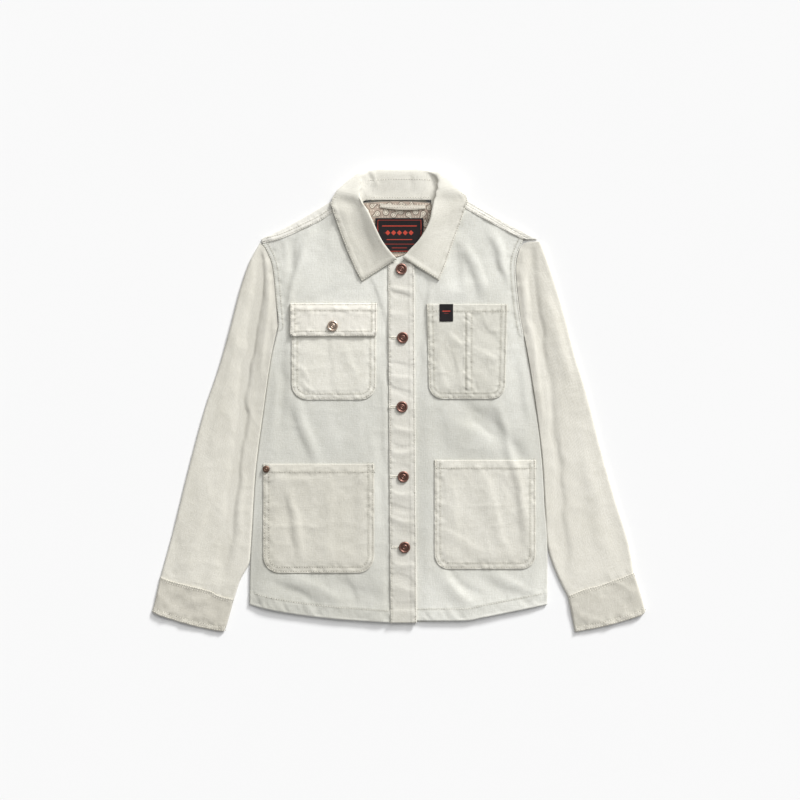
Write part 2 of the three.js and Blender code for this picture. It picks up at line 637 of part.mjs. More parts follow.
// Collar at the back neck: the fall lies under the back, turns at the fold and comes up as the stand.
const FOLD = { y: 359, height: 11, endHeight: 9.5 };
const STAND_SEAM = { y: 309, height: 6.2 };
const FALL_EDGE_Y = 297;
const FALL_HALF = { low: 66, high: 49 };
const STAND_X = { atSeam: -57, atFold: -50, right: 50 };
const COLLAR_BACK_ALONG = 8;
function collarBack() {
  const outer = [];
  const inner = [];
  for (let j = 0; j <= COLLAR_BACK_ALONG; j++) {
    const share = j / COLLAR_BACK_ALONG;
    const bend = 4 * share * (1 - share);
    const top = mix(FOLD.endHeight, FOLD.height, bend);
    const foldY = FOLD.y - 1.5 * (1 - bend);
    const standLeft = (y) => mix(STAND_X.atSeam, STAND_X.atFold, ease(y, STAND_SEAM.y, FOLD.y));
    const point = (y, z) => new THREE.Vector3(mix(standLeft(y), STAND_X.right, share), y, z);
    const below = (y, z) =>
      new THREE.Vector3(mix(FALL_HALF.low, FALL_HALF.high, ease(y, 330, FOLD.y)) * (2 * share - 1), y, z);
    const t = COLLAR_CLOTH;
    outer.push([
      below(FALL_EDGE_Y, 0),
      below(330, 0),
      below(346, 0),
      below(foldY - 6, 0),
      below(foldY - 1.6, 1.6),
      point(foldY, top * 0.5),
      point(foldY - 2.2, top - 1.4),
      point(foldY - 8, top),
      point(336, mix(top, STAND_SEAM.height + t, 0.35)),
      point(322, mix(top, STAND_SEAM.height + t, 0.75)),
      point(STAND_SEAM.y, STAND_SEAM.height + t),
    ]);
    inner.push([
      below(FALL_EDGE_Y, t - 0.1),
      below(330, t),
      below(346, t),
      below(foldY - 6.4, t),
      below(foldY - 3.6, t + 0.8),
      point(foldY - t, top * 0.5),
      point(foldY - 3.8, top - 2.9),
      point(foldY - 8, top - t),
      point(336, mix(top, STAND_SEAM.height + t, 0.35) - t),
      point(322, mix(top, STAND_SEAM.height + t, 0.75) - t),
      point(STAND_SEAM.y, STAND_SEAM.height),
    ]);
  }
  return wall(outer, inner);
}
add("collar_back", collarBack());

// Collar leaves, one row for each section from the front end round to the back: the free edge, the roll
// at the neck opening, and their heights. The foot is where the stand meets the neck seam.
const LEAF_RIGHT = [
  { edge: [-57, 183], roll: [-4, 217], edgeHeight: 8.4, rollHeight: 12.5 },
  { edge: [-65, 197], roll: [-15, 229], edgeHeight: 8.4, rollHeight: 15 },
  { edge: [-76, 221], roll: [-27, 245], edgeHeight: 8.4, rollHeight: 17 },
  { edge: [-86, 246], roll: [-36, 263], edgeHeight: 8.4, rollHeight: 18 },
  { edge: [-96, 274], roll: [-43, 279], edgeHeight: 8.4, rollHeight: 19 },
  { edge: [-102, 292], roll: [-50, 294], edgeHeight: 9, rollHeight: 19 },
  { edge: [-104, 309], roll: [-56, 304], edgeHeight: 7, rollHeight: 18 },
  { edge: [-99, 320], roll: [-60, 313], edgeHeight: 3.4, rollHeight: 17 },
  { edge: [-90, 330], roll: [-61, 324], edgeHeight: 2.2, rollHeight: 15.5 },
  { edge: [-76, 342], roll: [-59, 336], edgeHeight: 2.2, rollHeight: 14 },
  { edge: [-58, 354], roll: [-54, 348], edgeHeight: 2.2, rollHeight: 11.5 },
];
const LEAF_LEFT = [
  { edge: [62, 184], roll: [7, 219], edgeHeight: 8.4, rollHeight: 12.5 },
  { edge: [69, 200], roll: [18, 231], edgeHeight: 8.4, rollHeight: 15 },
  { edge: [81, 234], roll: [33, 247], edgeHeight: 8.4, rollHeight: 17 },
  { edge: [91, 262], roll: [43, 263], edgeHeight: 8.4, rollHeight: 18 },
  { edge: [99, 284], roll: [50, 280], edgeHeight: 8.4, rollHeight: 19 },
  { edge: [103, 299], roll: [52, 293], edgeHeight: 9, rollHeight: 19 },
  { edge: [106, 312], roll: [55, 308], edgeHeight: 6.5, rollHeight: 18 },
  { edge: [98, 326], roll: [58, 321], edgeHeight: 2.6, rollHeight: 16.5 },
  { edge: [82, 341], roll: [60, 333], edgeHeight: 2.2, rollHeight: 15 },
  { edge: [67, 353], roll: [60, 343], edgeHeight: 2.2, rollHeight: 13.5 },
  { edge: [56, 357], roll: [55, 351], edgeHeight: 2.2, rollHeight: 11.5 },
];
const LEAF_ROWS = 17;
const LEAF_STEPS = 6;
const FOOT_HEIGHT = 6.9;
const WRAPPED = { from: 0.52, to: 0.66 };
function leaf(sections, carriers) {
  const column = (name) => {
    const curve = new THREE.CatmullRomCurve3(
      sections.map((s) => new THREE.Vector3(...s[name], s[name + "Height"])),
      false,
      "centripetal",
    );
    return (t) => curve.getPoint(t);
  };
  const [edgeAt, rollAt] = [column("edge"), column("roll")];
  const leafRows = [];
  const ends = [];
  for (let j = 0; j <= LEAF_ROWS; j++) {
    const [edge, roll] = [edgeAt(j / LEAF_ROWS), rollAt(j / LEAF_ROWS)];
    const row = [];
    for (let k = 0; k <= LEAF_STEPS; k++) {
      const share = k / LEAF_STEPS;
      const wrapped = ease(j / LEAF_ROWS, WRAPPED.from, WRAPPED.to);
      const lying = 0.1 * share + 0.9 * share ** 2.4;
      const domed = Math.sin((Math.PI / 2) * share ** 0.6);
      const p = edge.clone().lerp(roll, share);
      row.push(p.setZ(mix(edge.z, roll.z, mix(lying, domed, wrapped))));
    }
    leafRows.push(row);
    ends.push({ roll, outward: edge.clone().sub(roll).setZ(0).normalize() });
  }
  const under = lay(leafRows, carriers, (p) => Math.max(p.z - COLLAR_CLOTH, 0));
  const outer = raised(under, COLLAR_CLOTH).map((row, j) => {
    const { roll, outward } = ends[j];
    const foot = Math.min(FOOT_HEIGHT, roll.z - 3);
    const beside = (distance, z) => roll.clone().addScaledVector(outward, distance).setZ(z);
    return [...row.slice(0, -1), beside(1, roll.z), beside(-0.4, roll.z - 1.6),
      beside(0.2, mix(roll.z, foot, 0.6)), beside(1.2, foot)];
  });
  const inner = under.map((row, j) => {
    const { roll, outward } = ends[j];
    const foot = Math.min(FOOT_HEIGHT, roll.z - 3);
    const beside = (distance, z) => roll.clone().addScaledVector(outward, distance).setZ(z);
    return [...row.slice(0, -1), beside(2.6, roll.z - COLLAR_CLOTH), beside(1.9, roll.z - 3),
      beside(2.3, mix(roll.z, foot, 0.6)), beside(3.2, foot)];
  });
  return wall(outer, inner);
}
add("collar_leaf_right", leaf(LEAF_RIGHT, [frontRightOuter, bandOuter, yokeRight.top]));
add("collar_leaf_left", leaf(LEAF_LEFT, [frontLeftOuter, bandOuter, yokeLeft.top]));

// Dished shank buttons and the rivet, each seated on the cloth under it.
const DISC_STEPS = 14;
const SEAT_TURNS = 16;
const SEAT_SHARES = [0, 0.5, 0.9];
function disc(radius, height, dish) {
  const profile = [
    [0, 0],
    [radius * 0.9, 0],
    [radius, height * 0.6],
    [radius * 0.86, height],
    [radius * 0.62, height - dish],
    [radius * 0.3, height - dish],
    [0, height - dish * 0.4],
  ];
  const turned = new THREE.LatheGeometry(profile.map(([r, z]) => new THREE.Vector2(r, z)), DISC_STEPS);
  return turned.rotateX(Math.PI / 2);
}

function seat(name, x, y, radius, height, dish, carriers, colour) {
  let floor = -Infinity;
  for (let turn = 0; turn < SEAT_TURNS; turn++) {
    for (const share of SEAT_SHARES) {
      const angle = (turn / SEAT_TURNS) * 2 * Math.PI;
      const reach = share * radius;
      floor = Math.max(floor, topOver(carriers, x + reach * Math.cos(angle), y + reach * Math.sin(angle)));
    }
  }
  add(name, disc(radius, height, dish).translate(x, y, floor + SEAM), colour);
}
for (const { name, x, y } of BUTTONS)
  seat(name, x, y, BUTTON_RADIUS, BUTTON_HEIGHT, BUTTON_DISH, [bandOuter], "copper");
const { buttonX, buttonY } = FLAP;
seat("flap_button", buttonX, buttonY, FLAP_BUTTON_RADIUS, BUTTON_HEIGHT, BUTTON_DISH, [flapOuter], "rose");
const rivetCarriers = [pocketOuters.hip_pocket_right];
seat("pocket_rivet", RIVET.x, RIVET.y, RIVET.radius, RIVET.height, RIVET.dish, rivetCarriers, "rivet");

// The middle of the outline is the origin.
const box = new THREE.Box3().setFromObject(jacket);
jacket.position.set(-(box.min.x + box.max.x) / 2, -(box.min.y + box.max.y) / 2, -box.min.z);

export default jacket;
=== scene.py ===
"""A chore jacket in natural canvas, buttoned and laid flat: its looks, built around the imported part."""
import math
from collections import namedtuple

import bpy
import numpy as np
from bpy.props import FloatProperty, FloatVectorProperty, IntProperty, PointerProperty
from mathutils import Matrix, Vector
from mathutils.bvhtree import BVHTree


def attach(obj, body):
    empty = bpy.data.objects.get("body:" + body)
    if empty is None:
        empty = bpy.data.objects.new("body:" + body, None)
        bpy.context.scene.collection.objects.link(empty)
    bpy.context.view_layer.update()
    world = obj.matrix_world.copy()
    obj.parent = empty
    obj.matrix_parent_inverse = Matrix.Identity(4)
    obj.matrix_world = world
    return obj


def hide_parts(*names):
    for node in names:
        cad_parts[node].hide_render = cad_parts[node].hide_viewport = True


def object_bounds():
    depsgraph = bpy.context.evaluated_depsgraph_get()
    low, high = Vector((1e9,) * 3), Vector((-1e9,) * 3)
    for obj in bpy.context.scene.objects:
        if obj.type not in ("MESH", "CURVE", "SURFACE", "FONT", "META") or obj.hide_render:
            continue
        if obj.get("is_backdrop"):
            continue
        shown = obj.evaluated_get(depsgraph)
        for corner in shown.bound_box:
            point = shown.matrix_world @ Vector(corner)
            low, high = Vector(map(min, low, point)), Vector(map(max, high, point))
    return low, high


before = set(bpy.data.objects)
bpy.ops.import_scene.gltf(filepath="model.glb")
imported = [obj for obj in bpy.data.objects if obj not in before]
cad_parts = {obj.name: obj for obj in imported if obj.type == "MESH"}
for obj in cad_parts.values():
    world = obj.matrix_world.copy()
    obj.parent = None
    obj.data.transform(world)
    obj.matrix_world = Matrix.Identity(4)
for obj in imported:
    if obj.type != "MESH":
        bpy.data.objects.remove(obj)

bl_info = {
    "name": "Chore jacket",
    "version": (1, 0, 0),
    "blender": (4, 5, 0),
    "location": "3D View > Sidebar > Jacket",
    "description": "A canvas chore jacket laid flat, piece by piece",
    "category": "Object",
}

CAD_BOX = [list(corner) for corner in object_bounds()]

# Every table and length below is in millimetres, and MM turns it into Blender's metres.
# +X is to the right seen from above, +Y towards the collar; right and left are the wearer's.
MM = 0.001

# Seams and edges from the hem up, right half then left half
HEM = {
    "right": [(-231, -317), (-200, -325), (-153, -333), (-91, -340), (-13.3, -345)],
    "left": [(-11, -342), (98, -342), (126, -338), (157, -332), (187, -326), (230, -317)],
}
SIDE = {
    "right": [(-231, -317), (-230, -253), (-227, -202), (-221, -109), (-209, -16), (-198, 62)],
    "left": [(230, -317), (230, -220), (226, -166), (222, -95), (214, -24), (202, 55)],
}
ARMHOLE = {
    "right": [(-187, 114), (-190, 150), (-196, 206), (-206, 232), (-213, 241)],
    "left": [(193, 104), (187, 139), (181, 198), (184, 225), (193, 246)],
}
SHOULDER = {
    "right": [(-213, 241), (-184, 249), (-153, 262), (-122, 277), (-102, 290), (-80, 301)],
    "left": [(193, 246), (157, 266), (126, 283), (103, 296), (82, 305)],
}
NECKLINE = {
    "right": [(-66, 304), (-57, 293), (-47, 272), (-36, 250), (-26, 234), (-17.3, 222)],
    "left": [(68, 306), (59, 294), (50, 270), (38, 247), (26, 232), (-11, 216)],
}
UNDER_BAND_X = -11
UNDER_BAND = 1.6
# How much darker parts of the fronts and the band are painted; the low right front's is painted shade of its folds.
LOW_FOLD_PAINTED_SHADE = 0.13
BELLY_DARKER = {"right": 0.25, "left": 0.22}
BELLY_RISE = {"right": (20, 140), "left": (-50, 70)}
BAND_LOW_DARKER = 0.26

Band = namedtuple("Band", "top bottom seam_top seam_bottom edge_top edge_bottom")
BAND = Band(212, -345, -17, -13, 24, 28)

Pocket = namedtuple("Pocket", "name half left right top bottom corner mouth_row narrowing")
POCKETS = [
    Pocket("chest_pocket_right", "right", -166, -35, 146, 0, 24, 12, 0),
    Pocket("chest_pocket_left", "left", 43, 168, 148, 1, 22, 11.5, 3),
    Pocket("hip_pocket_right", "right", -210, -38, -99, -268, 26, 13, 0),
    Pocket("hip_pocket_left", "left", 55, 212, -93, -262, 23, 13, 0),
]
FLAP = Pocket("pocket_flap", "right", -168, -34, 149, 98, 5, 0, 0)
FLAP_SEAM_ROWS = (1.6, 11)
POCKET_ROWS = (2.6, 9.0)
PEN_SLOT_X = (104, 112.5)
PEN_SLOT_ENDS = (136, 12)
TAB = Pocket("pocket_tab", "left", 63, 84, 148, 121, 1, 0, 0)

Button = namedtuple("Button", "name x y radius")
BUTTONS = [
    Button("button_1", 4, 202, 8.8),
    Button("button_2", 6, 96, 8.8),
    Button("button_3", 5, -11, 8.8),
    Button("button_4", 7, -119, 8.8),
    Button("button_5", 9, -228, 8.8),
]
FLAP_BUTTON = Button("flap_button", -102, 114, 8.2)
RIVET = Button("pocket_rivet", -205, -107, 5.2)

# Creases: a bowed line, how far it rises above the cloth (a trough is below 0), and its spread.
Crease = namedtuple("Crease", "start via end rise spread")


def creases(*rows):
    """Creases from rows of six coordinates, a rise and a spread."""
    return [Crease(row[:2], row[2:4], row[4:6], *row[6:]) for row in rows]


FRONT_CREASES = creases(
    (-134, 262, -158, 198, -176, 140, 2.4, 9), (-146, 256, -166, 196, -180, 138, -1.6, 6),
    (-160, 248, -166, 225, -164, 200, -1.8, 7), (-182, 247, -182, 230, -178, 212, -1.1, 6),
    (-112, 268, -120, 240, -124, 214, -0.8, 9), (-44, 186, -20, 130, -18, 20, -2.2, 8),
    (-34, 178, -28, 140, -26, 90, 1.1, 8), (-30, 20, -24, -120, -20, -300, -1.5, 8),
    (-40, -60, -34, -140, -36, -230, 0.8, 10), (46, 190, 36, 120, 28, 30, -2, 9),
    (52, 176, 44, 120, 40, 70, 0.9, 8), (146, 258, 165, 215, 174, 170, 2.4, 9),
    (138, 250, 156, 212, 164, 172, -1.6, 6), (103, 240, 127, 196, 136, 156, 1.8, 9),
    (94, 234, 112, 196, 122, 158, -1.2, 7), (88, 240, 94, 205, 90, 168, -1.6, 8),
    (48, 266, 64, 274, 79, 279, -1, 6), (70, 262, 74, 220, 70, 176, 0.9, 10),
    (151, 0, 170, -75, 204, -220, 2.2, 11), (142, -4, 160, -76, 194, -214, -1.2, 8),
    (110, -8, 130, -46, 149, -62, -1.2, 8), (-162, 0, -146, -40, -124, -95, 1.8, 10),
    (-172, -8, -158, -44, -138, -94, -1.1, 7), (-120, -10, -100, -50, -92, -92, 0.7, 12),
    (-176, -272, -125, -282, -92, -310, 1.6, 9), (-196, -280, -150, -294, -120, -318, -1, 7),
    (-90, -274, -70, -292, -66, -322, -0.9, 7), (58, -248, 82, -292, 112, -318, 1.8, 9),
    (72, -262, 100, -292, 132, -306, -1, 7), (150, -268, 170, -288, 206, -298, 1, 9),
    (-184, 92, -176, 30, -186, -40, -1.8, 10), (-192, 60, -190, 10, -198, -60, 0.9, 7),
    (185, 80, 184, 20, 194, -40, -1.8, 10), (-60, -6, -64, -50, -58, -92, 0.7, 12),
    (60, -10, 66, -46, 70, -86, -0.7, 12), (96, -4, 150, -36, 200, -104, -1.9, 15),
    (62, -14, 112, -60, 176, -84, 1.1, 15), (-150, -6, -170, -50, -206, -84, -1.2, 14),
    (-80, 196, -110, 170, -160, 158, 0.9, 14), (60, 172, 100, 168, 150, 190, 0.8, 14),
    (-100, -282, -60, -300, -24, -306, -1.1, 12), (120, -276, 170, -306, 220, -306, -1.2, 12),
    (-214, -120, -216, -200, -222, -290, 0.9, 9), (212, -110, 216, -200, 222, -290, 0.9, 9),
)
POCKET_CREASES = creases(
    (-169, -137, -156, -190, -150, -248, 1.5, 8), (-178, -150, -166, -196, -160, -250, -0.9, 6),
    (-110, -118, -104, -180, -112, -256, 0.9, 10), (-72, -124, -66, -186, -74, -240, -0.7, 10),
    (-200, -120, -160, -128, -120, -124, 0.7, 7), (-108, 93, -110, 50, -108, 15, -0.9, 7),
    (-153, 54, -146, 42, -138, 31, 0.8, 5), (-153, 34, -140, 18, -128, 7, 0.8, 5),
    (-84, 88, -72, 52, -62, 24, 0.7, 8), (75, 93, 82, 62, 87, 31, -1, 6), (82, 100, 92, 90, 104, 77, 0.8, 5),
    (118, 77, 140, 70, 162, 59, 1, 6), (118, 31, 122, 22, 123, 12, -0.8, 5),
    (126, 120, 140, 98, 158, 90, -0.8, 7), (60, 60, 66, 36, 78, 14, 0.7, 6),
    (76, -112, 92, -170, 84, -246, 0.9, 10), (128, -108, 150, -160, 168, -246, 1.4, 9),
    (180, -120, 176, -170, 190, -230, -0.8, 8), (62, -200, 100, -214, 132, -240, 0.7, 7),
)
BAND_CREASES = creases(
    (-16, 168, 0, 158, 22, 160, -0.9, 4), (-16, 176, 2, 168, 22, 170, 0.8, 5),
    (-14, 132, 4, 126, 22, 134, 0.6, 7), (-15, 58, 2, 52, 14, 54, -0.6, 4), (-16, 38, 4, 30, 24, 36, 0.8, 5),
    (-15, 20, 4, 10, 25, 6, -0.9, 4), (-12, -40, 6, -50, 25, -46, 0.9, 5), (-14, -66, 2, -74, 18, -72, -0.7, 4),
    (-14, -78, 6, -84, 25, -78, 0.7, 5), (-13, -98, 2, -104, 14, -102, -0.7, 4),
    (-13, -142, 8, -148, 26, -142, 0.9, 5), (-13, -160, 4, -168, 26, -172, -0.9, 4),
    (-12, -180, 8, -190, 26, -192, 0.9, 5), (-8, -206, 8, -212, 26, -208, -0.7, 4),
    (-12, -250, 6, -256, 26, -254, 0.9, 5), (-12, -268, 8, -274, 24, -280, -0.8, 5),
    (-12, -290, 8, -296, 26, -294, 0.8, 6), (-10, -312, 8, -318, 26, -316, -0.7, 5),
)
SLEEVE_CREASES = creases(
    (-213, 236, -212, 205, -216, 160, -3, 4.5), (-213, 200, -222, 130, -235, 20, -3.8, 8),
    (-232, 60, -246, -90, -270, -270, -3.6, 9), (-222, 90, -238, -60, -258, -200, 1.2, 8),
    (-202, 190, -204, 120, -212, 40, 2, 6), (-224, 226, -230, 190, -234, 150, 1.1, 7),
    (-236, 165, -252, 90, -282, -10, 1.6, 10), (-262, 80, -284, -10, -300, -90, -1, 9),
    (-290, -120, -312, -200, -330, -270, 1.4, 11), (-276, -190, -290, -236, -306, -288, -0.9, 9),
    (-340, -200, -346, -236, -352, -272, -0.8, 8), (-240, -110, -246, -170, -250, -236, 0.9, 7),
    (206, 236, 206, 200, 212, 160, -2.4, 5), (208, 200, 214, 140, 229, 40, -2.6, 8),
    (231, 60, 240, -95, 262, -280, -2.4, 10), (222, 90, 232, -60, 248, -180, 1.1, 8),
    (226, 180, 246, 110, 270, 20, 1.8, 9), (238, 190, 256, 120, 272, 60, -0.9, 8),
    (199, 120, 214, 60, 222, -30, 1.6, 7), (290, -90, 312, -180, 328, -255, 0.8, 12),
    (268, -60, 288, -150, 300, -230, -0.5, 11), (330, -170, 340, -210, 350, -258, -0.4, 9),
    (194, 190, 198, 160, 200, 130, 0.9, 6),
)
COLLAR_CREASES = creases(
    (-76, 322, -60, 276, -40, 222, -0.9, 9), (-88, 300, -78, 262, -62, 226, 0.6, 9),
    (84, 318, 78, 276, 58, 226, -0.6, 10), (-50, 354, -44, 346, -37, 338, -1.2, 3),
    (-42, 352, -36, 342, -32, 330, 0.8, 4), (18, 350, 20, 342, 20, 330, -0.5, 4),
)

# Collar, one row from each front end round to the back: free edge, roll line, foot of the stand
Leaf = namedtuple("Leaf", "edge roll edge_height roll_height foot", defaults=[None])
LEAVES = {
    "right": [
        Leaf((-57, 183), (-4, 217), 8.6, 12.5),
        Leaf((-65, 197), (-15, 229), 8.6, 15),
        Leaf((-76, 221), (-27, 245), 8.6, 17),
        Leaf((-86, 246), (-36, 263), 9.2, 18),
        Leaf((-96, 274), (-43, 279), 10.4, 19),
        Leaf((-102, 292), (-50, 294), 11.6, 19),
        Leaf((-103.5, 307), (-56, 304), 11.8, 18.6, (-55, 301)),
        Leaf((-99, 320), (-60, 313), 10.8, 17.6, (-55, 306)),
        Leaf((-90, 330), (-61, 324), 9, 16.2, (-51, 308.5)),
        Leaf((-76, 342), (-59, 336), 7, 14.6, (-46, 309)),
        Leaf((-59, 353), (-54, 347), 5.6, 12, (-40, 309)),
    ],
    "left": [
        Leaf((62, 184), (7, 219), 8.6, 12.5),
        Leaf((69, 200), (18, 231), 8.6, 15),
        Leaf((81, 234), (33, 247), 8.6, 17),
        Leaf((91, 262), (43, 263), 9.4, 18),
        Leaf((99, 284), (50, 280), 10.8, 19),
        Leaf((103, 299), (52, 293), 11.8, 19),
        Leaf((105.5, 311), (55, 307), 11.8, 18.4, (50, 303)),
        Leaf((98, 326), (58, 320), 10.4, 17.4, (50, 308)),
        Leaf((84, 342), (60, 332), 8.6, 16, (48, 309)),
        Leaf((72, 352), (60, 342), 6.8, 14.4, (44, 309)),
        Leaf((60, 357), (54, 349), 5.6, 12, (39, 309)),
    ],
}
BACK_ROLL_X = (-34, -17, 0, 17, 34)
BACK_ROLL = {"y": 351.5, "height": 11, "fold": 359.2, "edge": 297, "foot": 309, "foot_height": 7.4}
FALL_WIDTH = 62
LEAF_WRAPS_FROM = 7
# Painted light on the collar's stand and painted shade on the right leaf.
STAND_PAINTED_LIGHT = 0.45
LEAF_PAINTED_SHADE = 0.28
GATHERED = (0, 0, 0, 0.05, 0.11, 0.17, 0.23)

LABEL = {"left": -36, "right": 38, "top": 281, "foot": 229}
LABEL_BARS = ((269, 27, 0.8), (248, 20, 0.6), (241, 23, 0.45), (235, 12, 0.45))
LOOP = {"left": -29, "right": 41, "top_left": 304, "top_right": 302, "width": 7, "rise": 2, "sag": 2.6}
LOOP_ROWS = (0.16, 0.84)

NECK_LIFT = 2.5
NECK_LIFT_FROM = 262
NECK_LIFT_TO = 290
SIDE_FALL = 26
SLACK_AT_SIDE = 0.4
SLACK_UNDER_BAND = 0.9


def length(name, description, millimetres):
    return FloatProperty(name=name, description=description, default=millimetres * MM, unit="LENGTH")


def tint(name, description, value):
    return FloatVectorProperty(name=name, description=description, default=value, subtype="COLOR", min=0, max=1)


class JacketCloth(bpy.types.PropertyGroup):
    """Walls of cloth and how they lie."""

    canvas: length("Canvas", "Thickness of the body", 1.8)
    sleeve: length("Sleeve", "Thickness of a sleeve", 1.4)
    cuff: length("Cuff", "Thickness of a cuff's wall", 1.8)
    band: length("Band", "Thickness of the front band", 2)
    pocket: length("Pocket", "Thickness of a pocket", 1.2)
    flap: length("Flap", "Thickness of the flap", 1.8)
    collar: length("Collar", "Thickness of the collar", 2)
    lining: length("Lining", "Thickness of the lining", 1)
    gap: length("Seam gap", "Gap between two pieces", 0.3)
    slack: length("Slack", "Height of the fronts over the back", 3)
    sleeve_height: length("Sleeve height", "How high a sleeve lies", 6)
    cuff_height: length("Cuff height", "How high a cuff lies", 6.4)
    crumple: length("Crumple", "Depth of the small uneven wrinkles", 0.7)
    cell: length("Cell", "Spacing of the cloth's grid", 2.6)


class JacketSewing(bpy.types.PropertyGroup):
    """Thread, stitch rows and turned edges."""

    pitch: length("Pitch", "From stitch to stitch", 3.9)
    length: length("Length", "Length of a stitch", 2.3)
    thread: length("Thread", "Width of the thread", 0.9)
    first_row: length("First row", "Row nearest the edge", 1.7)
    second_row: length("Second row", "Row further in", 7.7)
    hem: length("Hem", "Width of the turned hem", 20)
    turned: length("Turned edge", "How much a turned edge raises the cloth", 0.55)
    sunk: length("Sunk", "How deep a row of stitches sinks", 0.6)
    pucker: length("Pucker", "Height of the puckers beside a row", 0.6)


class JacketColours(bpy.types.PropertyGroup):
    """Colours of the cloths, the thread and the metals."""

    canvas: tint("Canvas", "Natural canvas", (0.80, 0.775, 0.70))
    canvas_deep: tint("Canvas, deep", "Between the threads", (0.60, 0.575, 0.49))
    thread: tint("Thread", "Sewing thread", (0.80, 0.77, 0.68))
    lining: tint("Lining", "Ground of the lining", (0.47, 0.38, 0.31))
    figure: tint("Figure", "Drops and dots of the lining", (0.74, 0.67, 0.56))
    label: tint("Label", "Ground of the woven label", (0.010, 0.008, 0.009))
    label_mark: tint("Label's border", "Border of the woven label", (0.52, 0.065, 0.04))
    copper: tint("Copper", "Front buttons", (0.34, 0.185, 0.15))
    rose: tint("Rose metal", "Button of the flap", (0.80, 0.64, 0.52))
    rivet: tint("Rivet", "Pocket rivet", (0.30, 0.19, 0.14))


class JacketStudio(bpy.types.PropertyGroup):
    """Floor, lights and camera."""

    lens: FloatProperty(name="Lens", description="Focal length", default=90, unit="CAMERA")
    width: FloatProperty(name="Width in frame", description="Floor width across the frame", default=1.24,
            unit="LENGTH")
    key: FloatProperty(name="Key", description="Soft light from the upper right", default=1.35)
    rake: FloatProperty(name="Rake", description="Low light that shows the folds", default=3.0)
    sky: FloatProperty(name="Sky", description="Even light from all round", default=0.32)
    floor: tint("Floor", "Pale floor", (0.90, 0.90, 0.90))
    seed: IntProperty(name="Seed", description="Start of the random wrinkles", default=7)


def cloth(name):
    """A cloth size in millimetres."""
    return getattr(bpy.context.scene.jacket_cloth, name) / MM


def sewing(name):
    """A sewing size in millimetres."""
    return getattr(bpy.context.scene.jacket_sewing, name) / MM


def colour(name):
    return (*getattr(bpy.context.scene.jacket_colours, name), 1)


# Lines and patches

def hem_row():
    """The hem's stitch row, in from the edge."""
    return sewing("hem") - 1.5


def double_rows():
    """The two stitch rows of a felled edge."""
    return sewing("first_row"), sewing("second_row")


def ease(value, low, high):
    """0 below low, 1 above high, smooth between them."""
    share = np.clip((value - low) / (high - low), 0, 1)
    return share * share * (3 - 2 * share)


def bell(distance, width):
    """1 at no distance, falling away smoothly on both sides."""
    return np.exp(-((distance / width) ** 2))


def mix(first, second, share):
    return first + (second - first) * share


def spline(points, steps=16):
    """A smooth line through a few points."""
    fixed = np.array(points, float)
    ends = np.vstack([fixed[:1], fixed, fixed[-1:]])
    t = np.linspace(0, 1, steps, endpoint=False)[:, None]
    spans = [
        0.5 * (2 * b + (c - a) * t + (2 * a - 5 * b + 4 * c - d) * t ** 2 + (3 * b - a - 3 * c + d) * t ** 3)
        for a, b, c, d in zip(ends, ends[1:], ends[2:], ends[3:])
    ]
    return np.vstack(spans + [fixed[-1:]])


def lengths(path):
    """Length from a path's start to each of its points."""
    return np.concatenate([[0], np.cumsum(np.linalg.norm(np.diff(path, axis=0), axis=1))])


def at(path, shares):
    """Points at shares of a path's length."""
    run = lengths(path)
    places = np.asarray(shares) * run[-1]
    return np.column_stack([np.interp(places, run, column) for column in np.asarray(path).T])


def resample(path, step):
    run = lengths(path)[-1]
    return at(path, np.linspace(0, 1, max(2, round(run / step) + 1)))


def patch(left, right, bottom, top, across, along):
    """Points between four edges: across and along are shares from the left and from the bottom."""
    west, east, south, north = at(left, along), at(right, along), at(bottom, across), at(top, across)
    u = np.asarray(across)[None, :, None]
    v = np.asarray(along)[:, None, None]
    edges = mix(south[None], north[None], v) + mix(west[:, None], east[:, None], u)
    return edges - mix(mix(south[0], south[-1], u), mix(north[0], north[-1], u), v)


RIM = (0, 0.4, 1.0)
RIM_STEP = 1.3
RIM_WIDTH = 11


def shares(length, cell):
    """Shares of a length, close together near both ends."""
    rim = np.concatenate([RIM, np.arange(RIM[-1] + RIM_STEP, min(RIM_WIDTH, length / 3), RIM_STEP)])
    inner = length - 2 * rim[-1]
    middle = np.linspace(rim[-1], length - rim[-1], max(2, round(inner / cell) + 1))[1:-1]
    return np.concatenate([rim, middle, (length - rim)[::-1]]) / length


def offset(path, distance):
    """A path moved to its left by a distance."""
    way = np.gradient(path, axis=0)
    way /= np.linalg.norm(way, axis=1)[:, None]
    return path + distance * np.column_stack([-way[:, 1], way[:, 0]])


NEAREST_CHUNK = 8192


def nearest(path, x, y):
    """For each place: distance to a path, how far along it lies, and its side (left is above 0)."""
    start, way = path[:-1], np.diff(path, axis=0)
    square = (way ** 2).sum(1)
    run = lengths(path)
    flat_x, flat_y = x.ravel(), y.ravel()
    distance, along, side = np.empty(x.size), np.empty(x.size), np.empty(x.size)
    for first in range(0, x.size, NEAREST_CHUNK):
        part = slice(first, first + NEAREST_CHUNK)
        dx = flat_x[part, None] - start[:, 0]
        dy = flat_y[part, None] - start[:, 1]
        share = np.clip((dx * way[:, 0] + dy * way[:, 1]) / square, 0, 1)
        gap = (dx - share * way[:, 0]) ** 2 + (dy - share * way[:, 1]) ** 2
        best = gap.argmin(1)
        row = np.arange(best.size)
        distance[part] = np.sqrt(gap[row, best])
        along[part] = run[best] + share[row, best] * np.sqrt(square[best])
        side[part] = np.sign(way[best, 0] * dy[row, best] - way[best, 1] * dx[row, best])
    return distance.reshape(x.shape), along.reshape(x.shape), side.reshape(x.shape)


PATH_STEP = 5
BODY_EDGE = {half: resample(spline(SIDE[half] + ARMHOLE[half]), PATH_STEP) for half in SIDE}
HEM_EDGE = {half: resample(spline(HEM[half]), PATH_STEP) for half in HEM}
ARM_EDGE = {half: resample(spline(ARMHOLE[half]), PATH_STEP) for half in ARMHOLE}


# Relief of the cloth

LATTICE = 128


